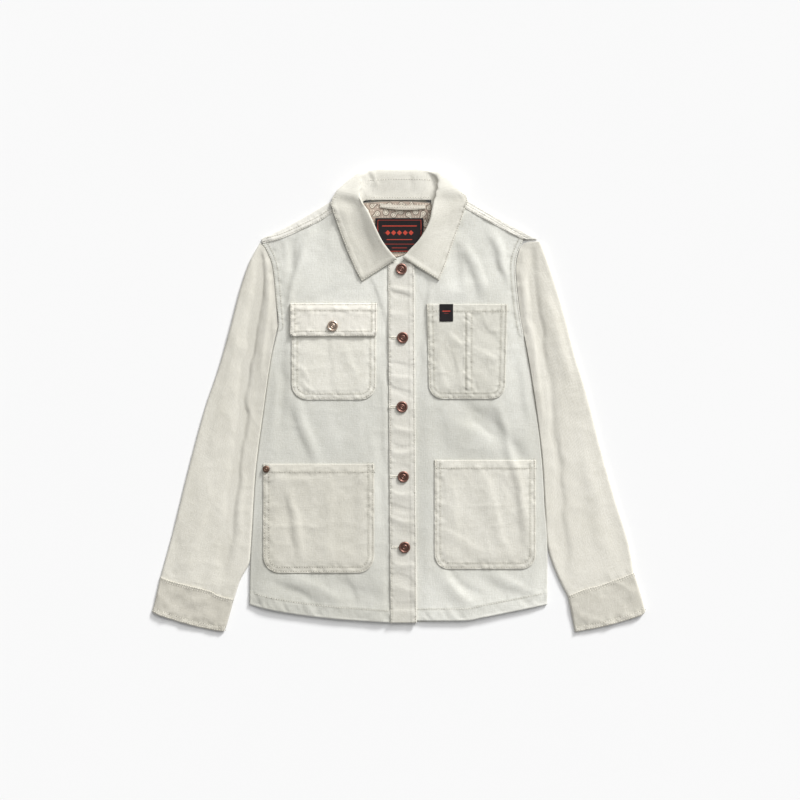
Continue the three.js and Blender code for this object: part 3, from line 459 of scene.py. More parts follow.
def cloud(x, y, grain, seed):
    """Smooth random values from -1 to 1 whose lumps are about one grain wide."""
    start = bpy.context.scene.jacket_studio.seed
    lattice = np.random.default_rng(start * 1000 + seed).uniform(-1, 1, (LATTICE, LATTICE))
    gx, gy = x / grain + LATTICE / 2, y / grain + LATTICE / 2
    ix, iy = np.floor(gx).astype(int), np.floor(gy).astype(int)
    fx, fy = gx - ix, gy - iy
    fx, fy = (f ** 3 * (f * (6 * f - 15) + 10) for f in (fx, fy))
    corner = lambda dx, dy: lattice[(ix + dx) % LATTICE, (iy + dy) % LATTICE]
    return mix(mix(corner(0, 0), corner(1, 0), fx), mix(corner(0, 1), corner(1, 1), fx), fy)


DEPTH = 1.3
BREADTH = 1.15
WAVER = 3
WAVER_GRAIN = 26
SHARP_SIDE = 0.62
SOFT_SIDE = 1.3


def creased(creases, x, y):
    """How much the creases of a table raise the cloth, with wavering lines and one steeper side."""
    wavy_x = x + WAVER * cloud(x, y, WAVER_GRAIN, 1)
    wavy_y = y + WAVER * cloud(x, y, WAVER_GRAIN, 2)
    total = np.zeros_like(x, float)
    for crease in creases:
        a, b, c = (np.array(point, float) for point in (crease.start, crease.via, crease.end))
        t = np.linspace(0, 1, 15)[:, None]
        path = (1 - t) ** 2 * a + 2 * t * (1 - t) * b + t ** 2 * c
        reach = 4 * crease.spread + WAVER
        low, high = path.min(0) - reach, path.max(0) + reach
        near = (x > low[0]) & (x < high[0]) & (y > low[1]) & (y < high[1])
        if not near.any():
            continue
        distance, along, side = nearest(path, wavy_x[near], wavy_y[near])
        share = along / lengths(path)[-1]
        taper = np.sqrt(np.sin(np.pi * (0.02 + 0.96 * share)))
        spread = BREADTH * crease.spread * np.where(side > 0, SHARP_SIDE, SOFT_SIDE)
        total[near] += DEPTH * crease.rise * taper * bell(distance, spread)
    return total


def crumpled(x, y, seed):
    """Small uneven wrinkles: soft lumps with a few sharper ridges."""
    lumps = 0.55 * cloud(x, y, 34, seed) + 0.3 * cloud(x, y, 15, seed + 1)
    ridge = (1 - np.abs(cloud(x + 6 * cloud(x, y, 22, seed + 3), y, 30, seed + 2))) ** 4
    fine = 0.12 * cloud(x, y, 6, seed + 4)
    return cloth("crumple") * (lumps + 0.5 * (ridge - 0.25) + fine)


def turned(distance, width):
    """Extra height where the cloth is turned in along an edge."""
    return sewing("turned") * (1 - ease(distance, width - 0.9, width + 0.9))


def stitched(distance, along, row, seed):
    """A row of stitches sinks into the cloth and puckers it on both sides."""
    from_row = distance - row
    beat = 0.5 + 0.5 * np.cos(2 * np.pi * along / sewing("pitch"))
    sunk = -sewing("sunk") * beat * bell(from_row, 0.9)
    lumps = cloud(along + 0.4 * distance, distance * 0.35, 4.2, seed) \
        + 0.8 * cloud(along - 0.5 * distance, distance * 0.3, 9, seed + 1)
    return sunk + sewing("pucker") * lumps * bell(from_row, 5) * ease(distance, -0.5, 1.5)


def roped(distance, along):
    """Slanting ridges inside a turned hem."""
    ridges = cloud(along + 0.7 * distance, distance * 0.15, 6, 24) + 0.6 * cloud(along, distance, 14, 25)
    return sewing("pucker") * ridges * ease(distance, 1, 5) * (1 - ease(distance, sewing("hem") - 5, sewing("hem")))


def rounded(distance, thick):
    """How much a cut edge falls away."""
    return -0.42 * thick * (1 - ease(distance, 0, 1.1)) ** 2


def edge_wear_and_row_shade(distance, rows, edge=0.5):
    """Wear and painted shade: above 0 on a worn edge, below 0 as painted shade in the valley of a row of stitches."""
    wear_and_shade = edge * bell(distance, 1.3)
    for row in rows:
        wear_and_shade = wear_and_shade - 0.5 * bell(distance - row, 1.2)
    return wear_and_shade


def combine_wear_and_shade(*wears):
    """Several marks at one place: the most worn edge and the deepest painted shade."""
    return np.maximum.reduce(wears).clip(0) + np.minimum.reduce(wears).clip(max=0)


def neck_lift(x, y):
    return NECK_LIFT * ease(y, NECK_LIFT_FROM, NECK_LIFT_TO) * (1 - ease(np.abs(x), 92, 125))


def front_top(x, y, half):
    """Height of a front's upper side, with its creases and sewn edges."""
    edge, _, _ = nearest(BODY_EDGE[half], x, y)
    side = ease(edge, 0, SIDE_FALL)
    pressed = ease(x, BAND.edge_top - 2, BAND.edge_top + 24) if half == "left" else 1
    slack = mix(SLACK_AT_SIDE, mix(SLACK_UNDER_BAND, cloth("slack"), pressed), side)
    if half == "right":
        slack = slack - 1.5 * ease(x, BAND.seam_top - 8, BAND.seam_top + 2)
    lively = side * pressed * (creased(FRONT_CREASES, x, y) + crumpled(x, y, 10))
    lying = np.maximum(slack + lively, 0.15) + neck_lift(x, y)
    hem, hem_along, _ = nearest(HEM_EDGE[half], x, y)
    arm, arm_along, _ = nearest(ARM_EDGE[half], x, y)
    flat = pressed if half == "left" else 1
    sewn = turned(hem, sewing("hem")) + stitched(hem, hem_along, hem_row(), 20) + roped(hem, hem_along)
    sewn = flat * sewn
    sewn = sewn + turned(arm, 9) * 1.2 + stitched(arm, arm_along, sewing("second_row"), 22)
    return 2 * cloth("canvas") + cloth("gap") + lying + sewn


# Meshes

Piece = namedtuple("Piece", "object tree area")
pieces = {}
thread_lines = {}


def add_object(name, data):
    """A new object in the scene."""
    thing = bpy.data.objects.new(name, data)
    bpy.context.scene.collection.objects.link(thing)
    return thing


def grid_faces(rows, columns, first, around, flip):
    """Quads of a grid of points, as indices."""
    index = first + np.arange(rows * columns).reshape(rows, columns)
    if around:
        index = np.hstack([index, index[:, :1]])
    quads = np.stack([index[:-1, :-1], index[:-1, 1:], index[1:, 1:], index[1:, :-1]], -1).reshape(-1, 4)
    return quads[:, ::-1] if flip else quads


def rim_faces(outer, inner, flip):
    """Quads that join two equal lines of indices."""
    quads = np.stack([outer[:-1], inner[:-1], inner[1:], outer[1:]], -1)
    return quads[:, ::-1] if flip else quads


def plan_area(points):
    """Area of a grid seen from above, in square millimetres."""
    one = points[1:, 1:, :2] - points[:-1, :-1, :2]
    two = points[1:, :-1, :2] - points[:-1, 1:, :2]
    return float(np.abs(one[..., 0] * two[..., 1] - one[..., 1] * two[..., 0]).sum() / 2)


def shell(name, outer, inner, grain, wear_and_shade=None, around=False, marks=None):
    """A closed wall of cloth between two grids of points, with its grain as a UV map in metres."""
    rows, columns = outer.shape[:2]
    half = rows * columns
    index = np.arange(2 * half).reshape(2, rows, columns)
    faces = [grid_faces(rows, columns, 0, around, False), grid_faces(rows, columns, half, around, True)]
    ring = np.arange(columns + 1) % columns if around else np.arange(columns)
    faces.append(rim_faces(index[0, 0, ring], index[1, 0, ring], False))
    faces.append(rim_faces(index[0, -1, ring], index[1, -1, ring], True))
    if not around:
        faces.append(rim_faces(index[0, :, 0], index[1, :, 0], True))
        faces.append(rim_faces(index[0, :, -1], index[1, :, -1], False))
    quads = np.vstack(faces)
    points = np.vstack([outer.reshape(-1, 3), inner.reshape(-1, 3)]) * MM
    a, b, c, d = (points[quads[:, k]] for k in range(4))
    volume = (a * np.cross(b, c)).sum() + (a * np.cross(c, d)).sum()
    if volume < 0:
        quads = quads[:, ::-1]
    mesh = bpy.data.meshes.new(name)
    mesh.vertices.add(len(points))
    mesh.vertices.foreach_set("co", points.ravel())
    mesh.loops.add(quads.size)
    mesh.loops.foreach_set("vertex_index", quads.ravel().astype(np.int32))
    mesh.polygons.add(len(quads))
    mesh.polygons.foreach_set("loop_start", np.arange(0, quads.size, 4, dtype=np.int32))
    mesh.update(calc_edges=True)
    mesh.polygons.foreach_set("use_smooth", np.ones(len(quads), bool))
    layer = mesh.uv_layers.new(name="grain")
    flat = np.vstack([grain.reshape(-1, 2), grain.reshape(-1, 2)]) * MM
    layer.data.foreach_set("uv", flat[quads.ravel()].ravel())
    # Per point: above 0 a worn edge or painted light, below 0 painted shade in stitch valleys, slits and folds.
    fields = {"rub": np.zeros((rows, columns)) if wear_and_shade is None else wear_and_shade, **(marks or {})}
    for field, values in fields.items():
        data = mesh.attributes.new(field, "FLOAT", "POINT")
        data.data.foreach_set("value", np.tile(np.asarray(values, float).ravel(), 2))
    thing = add_object(name, mesh)
    tree = BVHTree.FromPolygons(points.tolist(), quads.tolist())
    area = plan_area(np.concatenate([outer, outer[:, :1]], 1) if around else outer)
    pieces[name] = Piece(thing, tree, area)
    return thing


def settle(piece, nodes):
    """Gives a sheet of cloth its place in the part: hides the parts it replaces and hangs it on the root."""
    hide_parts(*nodes)
    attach(piece, "root")


def plan(grid):
    """The x and the y of a grid's points."""
    return grid[..., 0], grid[..., 1]


def with_height(flat, height):
    return np.dstack([flat, height])


def lay(name, flat, top, under, look, node, wear_and_shade=None, marks=None):
    """A sheet of cloth over a grid seen from above, dressed and settled."""
    piece = shell(name, with_height(flat, top), with_height(flat, under), flat, wear_and_shade, marks=marks)
    dress(piece, look)
    settle(piece, [node])


def sew(group, path, names, step=3.0, lift=0.1):
    """Lays a line of thread on the highest of some pieces along a path."""
    line = []
    for x, y in resample(np.asarray(path, float), step):
        hits = [pieces[name].tree.ray_cast(Vector((x * MM, y * MM, 0.1)), Vector((0, 0, -1)))[0] for name in names]
        heights = [hit.z for hit in hits if hit]
        if heights:
            line.append((x * MM, y * MM, max(heights) + lift * MM))
    if len(line) > 1:
        thread_lines.setdefault(group, []).append(line)


# Materials

def shader_group(name, inputs, outputs):
    """An empty shader group with its sockets, and its input and output nodes."""
    group = bpy.data.node_groups.new(name, "ShaderNodeTree")
    for kind, sockets in (("INPUT", inputs), ("OUTPUT", outputs)):
        for label, socket_type, default in sockets:
            socket = group.interface.new_socket(label, in_out=kind, socket_type=socket_type)
            if default is not None:
                socket.default_value = default
    return group, group.nodes.new("NodeGroupInput"), group.nodes.new("NodeGroupOutput")


def join(tree, source, target):
    tree.links.new(source, target)


def put(tree, kind, inputs=None, **settings):
    """A node with its settings; each input is a value or another node's socket."""
    node = tree.nodes.new(kind)
    for key, value in settings.items():
        setattr(node, key, value)
    for key, value in (inputs or {}).items():
        if isinstance(value, bpy.types.NodeSocket):
            tree.links.new(value, node.inputs[key])
        else:
            node.inputs[key].default_value = value
    return node


def maths(tree, operation, first, second=0.0, third=None):
    inputs = {0: first, 1: second}
    if third is not None:
        inputs[2] = third
    return put(tree, "ShaderNodeMath", inputs, operation=operation).outputs[0]


def blended(tree, share, first, second):
    """Mixes two colours by a share."""
    node = put(tree, "ShaderNodeMix", data_type="RGBA")
    for socket, value in ((node.inputs[0], share), (node.inputs[6], first), (node.inputs[7], second)):
        if isinstance(value, bpy.types.NodeSocket):
            tree.links.new(value, socket)
        else:
            socket.default_value = value
    return node.outputs[2]


def weave_group():
    """Woven cloth: crossing threads, thick and thin yarn, and a slow change of shade."""
    group, given, out = shader_group(
        "Weave",
        [("Grain", "NodeSocketVector", None), ("Thread count", "NodeSocketFloat", 1100.0),
         ("Twill", "NodeSocketFloat", 0.0), ("Slub", "NodeSocketFloat", 1.0),
         ("Light", "NodeSocketColor", None), ("Deep", "NodeSocketColor", None),
         ("Hollow", "NodeSocketColor", None),
         ("Rub", "NodeSocketFloat", 0.0)],
        [("Colour", "NodeSocketColor", None), ("Height", "NodeSocketFloat", None),
         ("Roughness", "NodeSocketFloat", None)],
    )
    grain = given.outputs["Grain"]
    count = given.outputs["Thread count"]
    parts = put(group, "ShaderNodeSeparateXYZ", {0: grain})
    warp = maths(group, "SINE", maths(group, "MULTIPLY", parts.outputs[0], maths(group, "MULTIPLY", count, math.pi)))
    weft_place = maths(group, "ADD", parts.outputs[1], maths(group, "MULTIPLY", parts.outputs[0],
            given.outputs["Twill"]))
    weft = maths(group, "SINE", maths(group, "MULTIPLY", weft_place, maths(group, "MULTIPLY", count, math.pi)))
    crossing = maths(group, "MULTIPLY", warp, weft)
    weave = maths(group, "MULTIPLY_ADD", crossing, 0.5, 0.5)

    def streaks(scale, detail):
        stretched = put(group, "ShaderNodeMapping", {"Vector": grain, "Scale": scale})
        noise = put(group, "ShaderNodeTexNoise", {"Vector": stretched.outputs[0], "Scale": 1.0,
                "Detail": detail, "Roughness": 0.6})
        return noise.outputs["Fac"]

    along = streaks((560.0, 90.0, 1.0), 2.0)
    over = streaks((80.0, 600.0, 1.0), 2.0)
    fleck = streaks((420.0, 420.0, 1.0), 3.0)
    shade = streaks((13.0, 10.0, 1.0), 3.0)
    slub = maths(group, "ADD", along, maths(group, "MULTIPLY_ADD", over, 0.7, maths(group, "MULTIPLY", fleck, 1.0)))
    slub = maths(group, "MULTIPLY", maths(group, "SUBTRACT", slub, 1.35), given.outputs["Slub"])
    tone = maths(group, "MULTIPLY_ADD", slub, 0.8, 0.36)
    tone = maths(group, "ADD", tone, maths(group, "MULTIPLY_ADD", shade, 0.9, -0.45))
    tone = maths(group, "ADD", tone, maths(group, "MULTIPLY_ADD", weave, -0.24, 0.12))
    # Above 0 the mark lightens worn edges and painted light; below 0 it darkens the cloth as painted shade.
    tone = maths(group, "SUBTRACT", tone, maths(group, "MULTIPLY", given.outputs["Rub"], 0.5))
    tone = put(group, "ShaderNodeClamp", {"Value": tone}).outputs[0]
    # Painted shade: below 0 the mark mixes in the Hollow colour.
    hollow = put(group, "ShaderNodeClamp", {"Value": maths(group, "MULTIPLY", given.outputs["Rub"], -0.75)})
    woven = blended(group, tone, given.outputs["Light"], given.outputs["Deep"])
    join(group, blended(group, hollow.outputs[0], woven, given.outputs["Hollow"]), out.inputs["Colour"])
    height = maths(group, "ADD", maths(group, "MULTIPLY", weave, 0.6), maths(group, "MULTIPLY", slub, 0.9))
    join(group, height, out.inputs["Height"])
    rough = maths(group, "MULTIPLY_ADD", tone, 0.12, 0.82)
    join(group, rough, out.inputs["Roughness"])
    return group


def new_material(name):
    material = bpy.data.materials.new("jacket_" + name)
    material.use_nodes = True
    tree = material.node_tree
    return material, tree, tree.nodes["Principled BSDF"]


def cloth_material(name, light, deep, count=1000.0, twill=0.0, slub=1.0, bump=0.0003, sheen=0.12):
    """Woven cloth from the weave group, read on the piece's own grain."""
    material, tree, surface = new_material(name)
    grain = put(tree, "ShaderNodeUVMap", uv_map="grain")
    rub = put(tree, "ShaderNodeAttribute", attribute_name="rub")
    weave = put(tree, "ShaderNodeGroup", node_tree=bpy.data.node_groups["Weave"])
    for key, value in (("Grain", grain.outputs[0]), ("Rub", rub.outputs["Fac"])):
        join(tree, value, weave.inputs[key])
    # The Hollow colour is the darker cloth used for painted shade.
    hollow = tuple(0.55 * c for c in deep[:3]) + (1,)
    for key, value in (("Thread count", count), ("Twill", twill), ("Slub", slub), ("Light", light),
            ("Deep", deep), ("Hollow", hollow)):
        weave.inputs[key].default_value = value
    relief = put(tree, "ShaderNodeBump", {"Height": weave.outputs["Height"], "Distance": bump, "Strength": 0.9})
    join(tree, weave.outputs["Colour"], surface.inputs["Base Color"])
    join(tree, weave.outputs["Roughness"], surface.inputs["Roughness"])
    join(tree, relief.outputs[0], surface.inputs["Normal"])
    surface.inputs["Sheen Weight"].default_value = sheen
    surface.inputs["Sheen Roughness"].default_value = 0.6
    surface.inputs["Specular IOR Level"].default_value = 0.25
    return material, tree, surface, weave


def marked(tree, field, low, high):
    """0 to 1 where a field of the mesh rises from low to high."""
    value = put(tree, "ShaderNodeAttribute", attribute_name=field).outputs["Fac"]
    return put(tree, "ShaderNodeMapRange", {"Value": value, "From Min": low, "From Max": high}).outputs[0]


def lining_material():
    """Printed lining: drops with an outline and dots on a taupe ground."""
    light, deep = colour("lining"), tuple(0.8 * c for c in colour("lining")[:3]) + (1,)
    material, tree, surface, weave = cloth_material("lining", light, deep, 2200.0, slub=0.4, bump=0.0001)
    figure = colour("figure")
    body = marked(tree, "drop", 0.2, -0.2)
    outline = marked(tree, "outline", 0.2, -0.2)
    dots = marked(tree, "dots", 0.15, -0.15)
    printed = blended(tree, body, weave.outputs["Colour"], figure)
    printed = blended(tree, outline, printed, tuple(0.3 * c for c in light[:3]) + (1,))
    printed = blended(tree, dots, printed, figure)
    join(tree, printed, surface.inputs["Base Color"])
    return material


def label_material():
    """Woven label: a dark ground with a thin border and a plain ornament."""
    ground = colour("label")
    material, tree, surface, weave = cloth_material("label", ground, tuple(2.2 * c for c in ground[:3]) + (1,),
            1800.0, slub=0.6, bump=0.0002, sheen=0.05)
    mark = marked(tree, "mark", 0.15, -0.15)
    join(tree, blended(tree, mark, weave.outputs["Colour"], colour("label_mark")), surface.inputs["Base Color"])
    return material


def metal_material(name, tint, roughness):
    """Brushed and handled metal, darker in its hollows."""
    material, tree, surface = new_material(name)
    place = put(tree, "ShaderNodeTexCoord")
    grain = put(tree, "ShaderNodeTexNoise", {"Vector": place.outputs["Object"], "Scale": 420.0, "Detail": 4.0})
    spots = put(tree, "ShaderNodeTexNoise", {"Vector": place.outputs["Object"], "Scale": 1500.0, "Detail": 2.0})
    hollow = put(tree, "ShaderNodeAttribute", attribute_name="hollow").outputs["Fac"]
    dark = tuple(0.3 * c for c in tint[:3]) + (1,)
    share = maths(tree, "MULTIPLY_ADD", grain.outputs["Fac"], 0.5, maths(tree, "MULTIPLY", hollow, 0.75))
    share = put(tree, "ShaderNodeClamp", {"Value": maths(tree, "SUBTRACT", share, 0.12)}).outputs[0]
    join(tree, blended(tree, share, tint, dark), surface.inputs["Base Color"])
    rough = maths(tree, "MULTIPLY_ADD", spots.outputs["Fac"], 0.3, roughness - 0.15)
    join(tree, rough, surface.inputs["Roughness"])
    relief = put(tree, "ShaderNodeBump", {"Height": grain.outputs["Fac"], "Distance": 0.00008, "Strength": 0.5})
    join(tree, relief.outputs[0], surface.inputs["Normal"])
    surface.inputs["Metallic"].default_value = 1
    return material


def thread_material():
    """Twisted cotton thread."""
    material, tree, surface = new_material("thread")
    place = put(tree, "ShaderNodeTexCoord")
    noise = put(tree, "ShaderNodeTexNoise", {"Vector": place.outputs["Object"], "Scale": 900.0, "Detail": 2.0})
    tint = colour("thread")
    pale = tuple(min(1, 1.14 * c) for c in tint[:3]) + (1,)
    join(tree, blended(tree, noise.outputs["Fac"], pale, tint), surface.inputs["Base Color"])
    relief = put(tree, "ShaderNodeBump", {"Height": noise.outputs["Fac"], "Distance": 0.0001, "Strength": 0.6})
    join(tree, relief.outputs[0], surface.inputs["Normal"])
    surface.inputs["Roughness"].default_value = 0.7
    surface.inputs["Sheen Weight"].default_value = 0.2
    return material


# Tone of each piece's canvas: partly its own tone, partly painted light and shade; the right sleeve and both cuffs
# are painted darker as shade.
PIECE_TONE_AND_SHADE = {
    "canvas": (0.87, 0.89, 0.91),
    "front_canvas": (0.99, 1.018, 1.05),
    "band_canvas": (1.00, 1.007, 1.023),
    "yoke_canvas": (1.03, 1.04, 1.07),
    "chest_pocket_right_canvas": (1.02, 1.03, 1.04),
    "chest_pocket_left_canvas": (0.92, 0.93, 0.93),
    "hip_pocket_right_canvas": (0.87, 0.87, 0.86),
    "hip_pocket_left_canvas": (0.96, 0.965, 0.97),
    "flap_canvas": (1.05, 1.05, 1.06),
    "sleeve_right_canvas": (0.93, 0.93, 0.925),
    "sleeve_left_canvas": (1.0, 1.0, 1.0),
    "cuff_right_canvas": (0.78, 0.77, 0.75),
    "cuff_left_canvas": (0.84, 0.835, 0.82),
    "collar_canvas": (1.05, 1.055, 1.055),
    "tape": (1.0, 0.96, 0.93),
}


def hole_material():
    """Cloth in the shade of a needle's hole."""
    material, _, surface = new_material("hole")
    surface.inputs["Base Color"].default_value = tuple(0.5 * c for c in colour("canvas_deep")[:3]) + (1,)
    surface.inputs["Roughness"].default_value = 0.9


def make_materials():
    weave_group()
    hole_material()
    light, deep = colour("canvas"), colour("canvas_deep")
    for name, tone_and_shade in PIECE_TONE_AND_SHADE.items():
        cloth_material(name, *(tuple(c * f for c, f in zip(tint, tone_and_shade)) + (1,) for tint in (light, deep)))
    lining_material()
    label_material()
    metal_material("copper", colour("copper"), 0.4)
    metal_material("rose_metal", colour("rose"), 0.34)
    metal_material("rivet_metal", colour("rivet"), 0.45)
    thread_material()


def dress(piece, name):
    piece.data.materials.clear()
    piece.data.materials.append(bpy.data.materials["jacket_" + name])


# Stitches by Geometry Nodes

def geometry_tree(name, **inputs):
    """A Geometry Nodes tree with a geometry in and out, and its other inputs by name and kind."""
    tree = bpy.data.node_groups.new(name, "GeometryNodeTree")
    sockets = [("Geometry", "INPUT", "Geometry"), *((label, "INPUT", kind) for label, kind in inputs.items()),
            ("Geometry", "OUTPUT", "Geometry")]
    for label, in_out, kind in sockets:
        label = label.replace("_", " ")
        tree.interface.new_socket(label, in_out=in_out, socket_type="NodeSocket" + kind)
    return tree, tree.nodes.new("NodeGroupInput"), tree.nodes.new("NodeGroupOutput")


def copies(tree, points, instance, rotation, material):
    """Copies of an instance on points, realized and given their material."""
    placed = put(tree, "GeometryNodeInstanceOnPoints", {"Points": points, "Instance": instance, "Rotation": rotation})
    real = put(tree, "GeometryNodeRealizeInstances", {"Geometry": placed.outputs[0]})
    return put(tree, "GeometryNodeSetMaterial", {"Geometry": real.outputs[0], "Material": material})


def stitch_tree():
    """Short thread capsules along the edges of a mesh, each turned to its line."""
    tree, given, out = geometry_tree("Stitches", Pitch="Float", Length="Float", Width="Float", Turn="Float",
            Hole="Float", Material="Material", Hole_material="Material")
    curve = put(tree, "GeometryNodeMeshToCurve", {"Mesh": given.outputs["Geometry"]})
    even = put(tree, "GeometryNodeResampleCurve", {"Curve": curve.outputs[0], "Length": given.outputs["Pitch"]},
            mode="LENGTH")
    capsule = put(tree, "GeometryNodeMeshUVSphere", {"Segments": 6, "Rings": 3, "Radius": 0.5})
    flat = put(tree, "ShaderNodeCombineXYZ", {0: given.outputs["Length"], 1: given.outputs["Width"],
            2: given.outputs["Width"]})
    sized = put(tree, "GeometryNodeTransform", {"Geometry": capsule.outputs[0], "Scale": flat.outputs[0]})
    turned_way = put(tree, "ShaderNodeCombineXYZ", {2: given.outputs["Turn"]})
    across = put(tree, "GeometryNodeTransform", {"Geometry": sized.outputs[0], "Rotation": turned_way.outputs[0]})
    tangent = put(tree, "GeometryNodeInputTangent")
    facing = put(tree, "FunctionNodeAlignRotationToVector", {"Vector": tangent.outputs[0]}, axis="X")
    # A dark bead ahead of each stitch: painted shade of the needle's hole.
    bead = put(tree, "GeometryNodeMeshUVSphere", {"Segments": 5, "Rings": 2, "Radius": 0.5})
    marked_bead = put(tree, "GeometryNodeStoreNamedAttribute", {"Geometry": bead.outputs[0], "Name": "hole"},
            data_type="BOOLEAN", domain="FACE")
    marked_bead.inputs["Value"].default_value = True
    hole = given.outputs["Hole"]
    ahead = put(tree, "ShaderNodeCombineXYZ", {0: maths(tree, "MULTIPLY", given.outputs["Pitch"], 0.5),
            2: maths(tree, "MULTIPLY", hole, -0.1)})
    bead_size = put(tree, "ShaderNodeCombineXYZ", {0: hole, 1: hole, 2: maths(tree, "MULTIPLY", hole, 0.4)})
    hollow = put(tree, "GeometryNodeTransform", {"Geometry": marked_bead.outputs[0], "Translation": ahead.outputs[0],
            "Scale": bead_size.outputs[0]})
    both = put(tree, "GeometryNodeJoinGeometry")
    join(tree, across.outputs[0], both.inputs[0])
    join(tree, hollow.outputs[0], both.inputs[0])
    dyed = copies(tree, even.outputs[0], both.outputs[0], facing.outputs[0], given.outputs["Material"])
    is_hole = put(tree, "GeometryNodeInputNamedAttribute", {"Name": "hole"}, data_type="BOOLEAN")
    darkened = put(tree, "GeometryNodeSetMaterial", {"Geometry": dyed.outputs[0],
            "Selection": is_hole.outputs["Attribute"], "Material": given.outputs["Hole material"]})
    join(tree, darkened.outputs[0], out.inputs[0])
    return tree


def run_tree(name, source, tree, values):
    """A plain mesh object from a tree on a source object; the source is removed."""
    modifier = source.modifiers.new("shape", "NODES")
    modifier.node_group = tree
    sockets = {item.name: item.identifier for item in tree.interface.items_tree if item.in_out == "INPUT"}
    for label, value in values.items():
        modifier[sockets[label]] = value
    bpy.context.view_layer.update()
    graph = bpy.context.evaluated_depsgraph_get()
    mesh = bpy.data.meshes.new_from_object(source.evaluated_get(graph))
    mesh.name = name
    source.modifiers.remove(modifier)
    bpy.data.objects.remove(source)
    if not mesh.polygons:
        raise RuntimeError(f"{name} came out empty")
    mesh.polygons.foreach_set("use_smooth", np.ones(len(mesh.polygons), bool))
    return add_object(name, mesh)


def lines_object(lines):
    """A mesh of open lines."""
    points, edges = [], []
    for line in lines:
        first = len(points)
        points += line
        edges += [(first + k, first + k + 1) for k in range(len(line) - 1)]
    mesh = bpy.data.meshes.new("lines")
    mesh.from_pydata(points, edges, [])
    return add_object("lines", mesh)


# The pieces

class JacketStep:
    """What the jacket's operators share."""

    bl_options = {"REGISTER", "UNDO"}


class JACKET_OT_materials(JacketStep, bpy.types.Operator):
    """Make the cloths, the thread and the metals"""

    bl_idname = "jacket.materials"
    bl_label = "Materials"

    def execute(self, context):
        make_materials()
        return {"FINISHED"}


BACK_SIDE_INSET = 1
BACK_TOP = [(-212, 241), (-184, 254), (-153, 270), (-122, 287), (-96, 299), (-60, 305), (0, 308), (54, 305),
        (98, 300), (126, 287), (157, 269), (177, 260), (192, 246)]
BACK_BOTTOM = [(-230, -317), (-200, -325), (-153, -333), (-91, -340), (-20, -344), (98, -342), (157, -332),
        (229, -317)]


class JACKET_OT_back(JacketStep, bpy.types.Operator):
    """Make the back, face down on the surface"""

    bl_idname = "jacket.back"
    bl_label = "Back"

    def execute(self, context):
        cell = 2 * cloth("cell")
        left = spline(SIDE["right"] + ARMHOLE["right"]) + (BACK_SIDE_INSET, 0)
        right = spline(SIDE["left"] + ARMHOLE["left"]) - (BACK_SIDE_INSET, 0)
        flat = patch(left, right, spline(BACK_BOTTOM), spline(BACK_TOP), shares(440, cell), shares(600, cell))
        x, y = plan(flat)
        lift = neck_lift(x, y)
        hem, along, _ = nearest(resample(spline(BACK_BOTTOM), PATH_STEP), x, y)
        under = lift + 0.35 * (1 - ease(hem, 0, 1.2)) + 0.25 * bell(hem - sewing("hem"), 1.1)
        top = lift + cloth("canvas") + rounded(hem, cloth("canvas")) + 0.4 * turned(hem, sewing("hem"))
        top = top + 0.5 * stitched(hem, along, hem_row(), 30)
        # Wear on the hem's edge and painted shade in its stitch valley.
        lay("back", flat, top, under, "canvas", "back_panel", edge_wear_and_row_shade(hem, [hem_row()]))
        return {"FINISHED"}


def front_edges(half):
    """Left, right, bottom and top edges of a front."""
    body = spline(SIDE[half] + ARMHOLE[half])
    if half == "right":
        seam = np.array([HEM["right"][-1], NECKLINE["right"][-1]], float) + (UNDER_BAND, 0)
        bottom = HEM["right"][:-1] + [tuple(seam[0])]
        top = SHOULDER["right"] + NECKLINE["right"][:-1] + [tuple(seam[1])]
        return body, seam, spline(bottom), spline(top)
    under_band = np.array([(UNDER_BAND_X, -342), (UNDER_BAND_X, 216)], float)
    return under_band, body, spline(HEM["left"]), spline(SHOULDER["left"] + NECKLINE["left"])[::-1]


class JACKET_OT_fronts(JacketStep, bpy.types.Operator):
    """Make both fronts, with their folds, hem and armhole seams"""

    bl_idname = "jacket.fronts"
    bl_label = "Fronts"

    def execute(self, context):
        for half in ("right", "left"):
            name = "front_" + half + "_cloth"
            left, right, bottom, top = front_edges(half)
            flat = patch(left, right, bottom, top, shares(215, cloth("cell")), shares(580, cloth("cell")))
            x, y = plan(flat)
            height = front_top(x, y, half)
            edge, _, _ = nearest(BODY_EDGE[half], x, y)
            hem, _, _ = nearest(HEM_EDGE[half], x, y)
            rim = rounded(np.minimum(edge, hem), 2 * cloth("canvas"))
            under = height - cloth("canvas") - turned(hem, sewing("hem"))
            arm, _, _ = nearest(ARM_EDGE[half], x, y)
            # Wear on the armhole and hem edges and painted shade in their stitch valleys; the low right front gets
            # painted shade of its folds, and each front is painted darker over its belly.
            wear_and_shade = combine_wear_and_shade(edge_wear_and_row_shade(arm, double_rows()), edge_wear_and_row_shade(hem, [hem_row()]))
            belly = 1 - ease(y, *BELLY_RISE[half])
            if half == "right":
                wear_and_shade = wear_and_shade - LOW_FOLD_PAINTED_SHADE * (1 - ease(y, -270, -170))
            else:
                belly = belly * ease(y, -300, -210)
            wear_and_shade = wear_and_shade - BELLY_DARKER[half] * belly
            lay(name, flat, height + rim, under, "front_canvas", "front_" + half, wear_and_shade)
            inward = -1 if half == "right" else 1
            sew("body", offset(HEM_EDGE[half], hem_row())[1:-1], [name])
            for row in reversed(double_rows()):
                sew("body", offset(ARM_EDGE[half], inward * row), [name])
        return {"FINISHED"}


def band_under(x, y):
    """Height of the band's lower side over the left front."""
    front = front_top(np.maximum(x, UNDER_BAND_X + 1), y, "left")
    return np.maximum(front, 4.7) + cloth("gap")


BAND_ROWS = (2.0,)


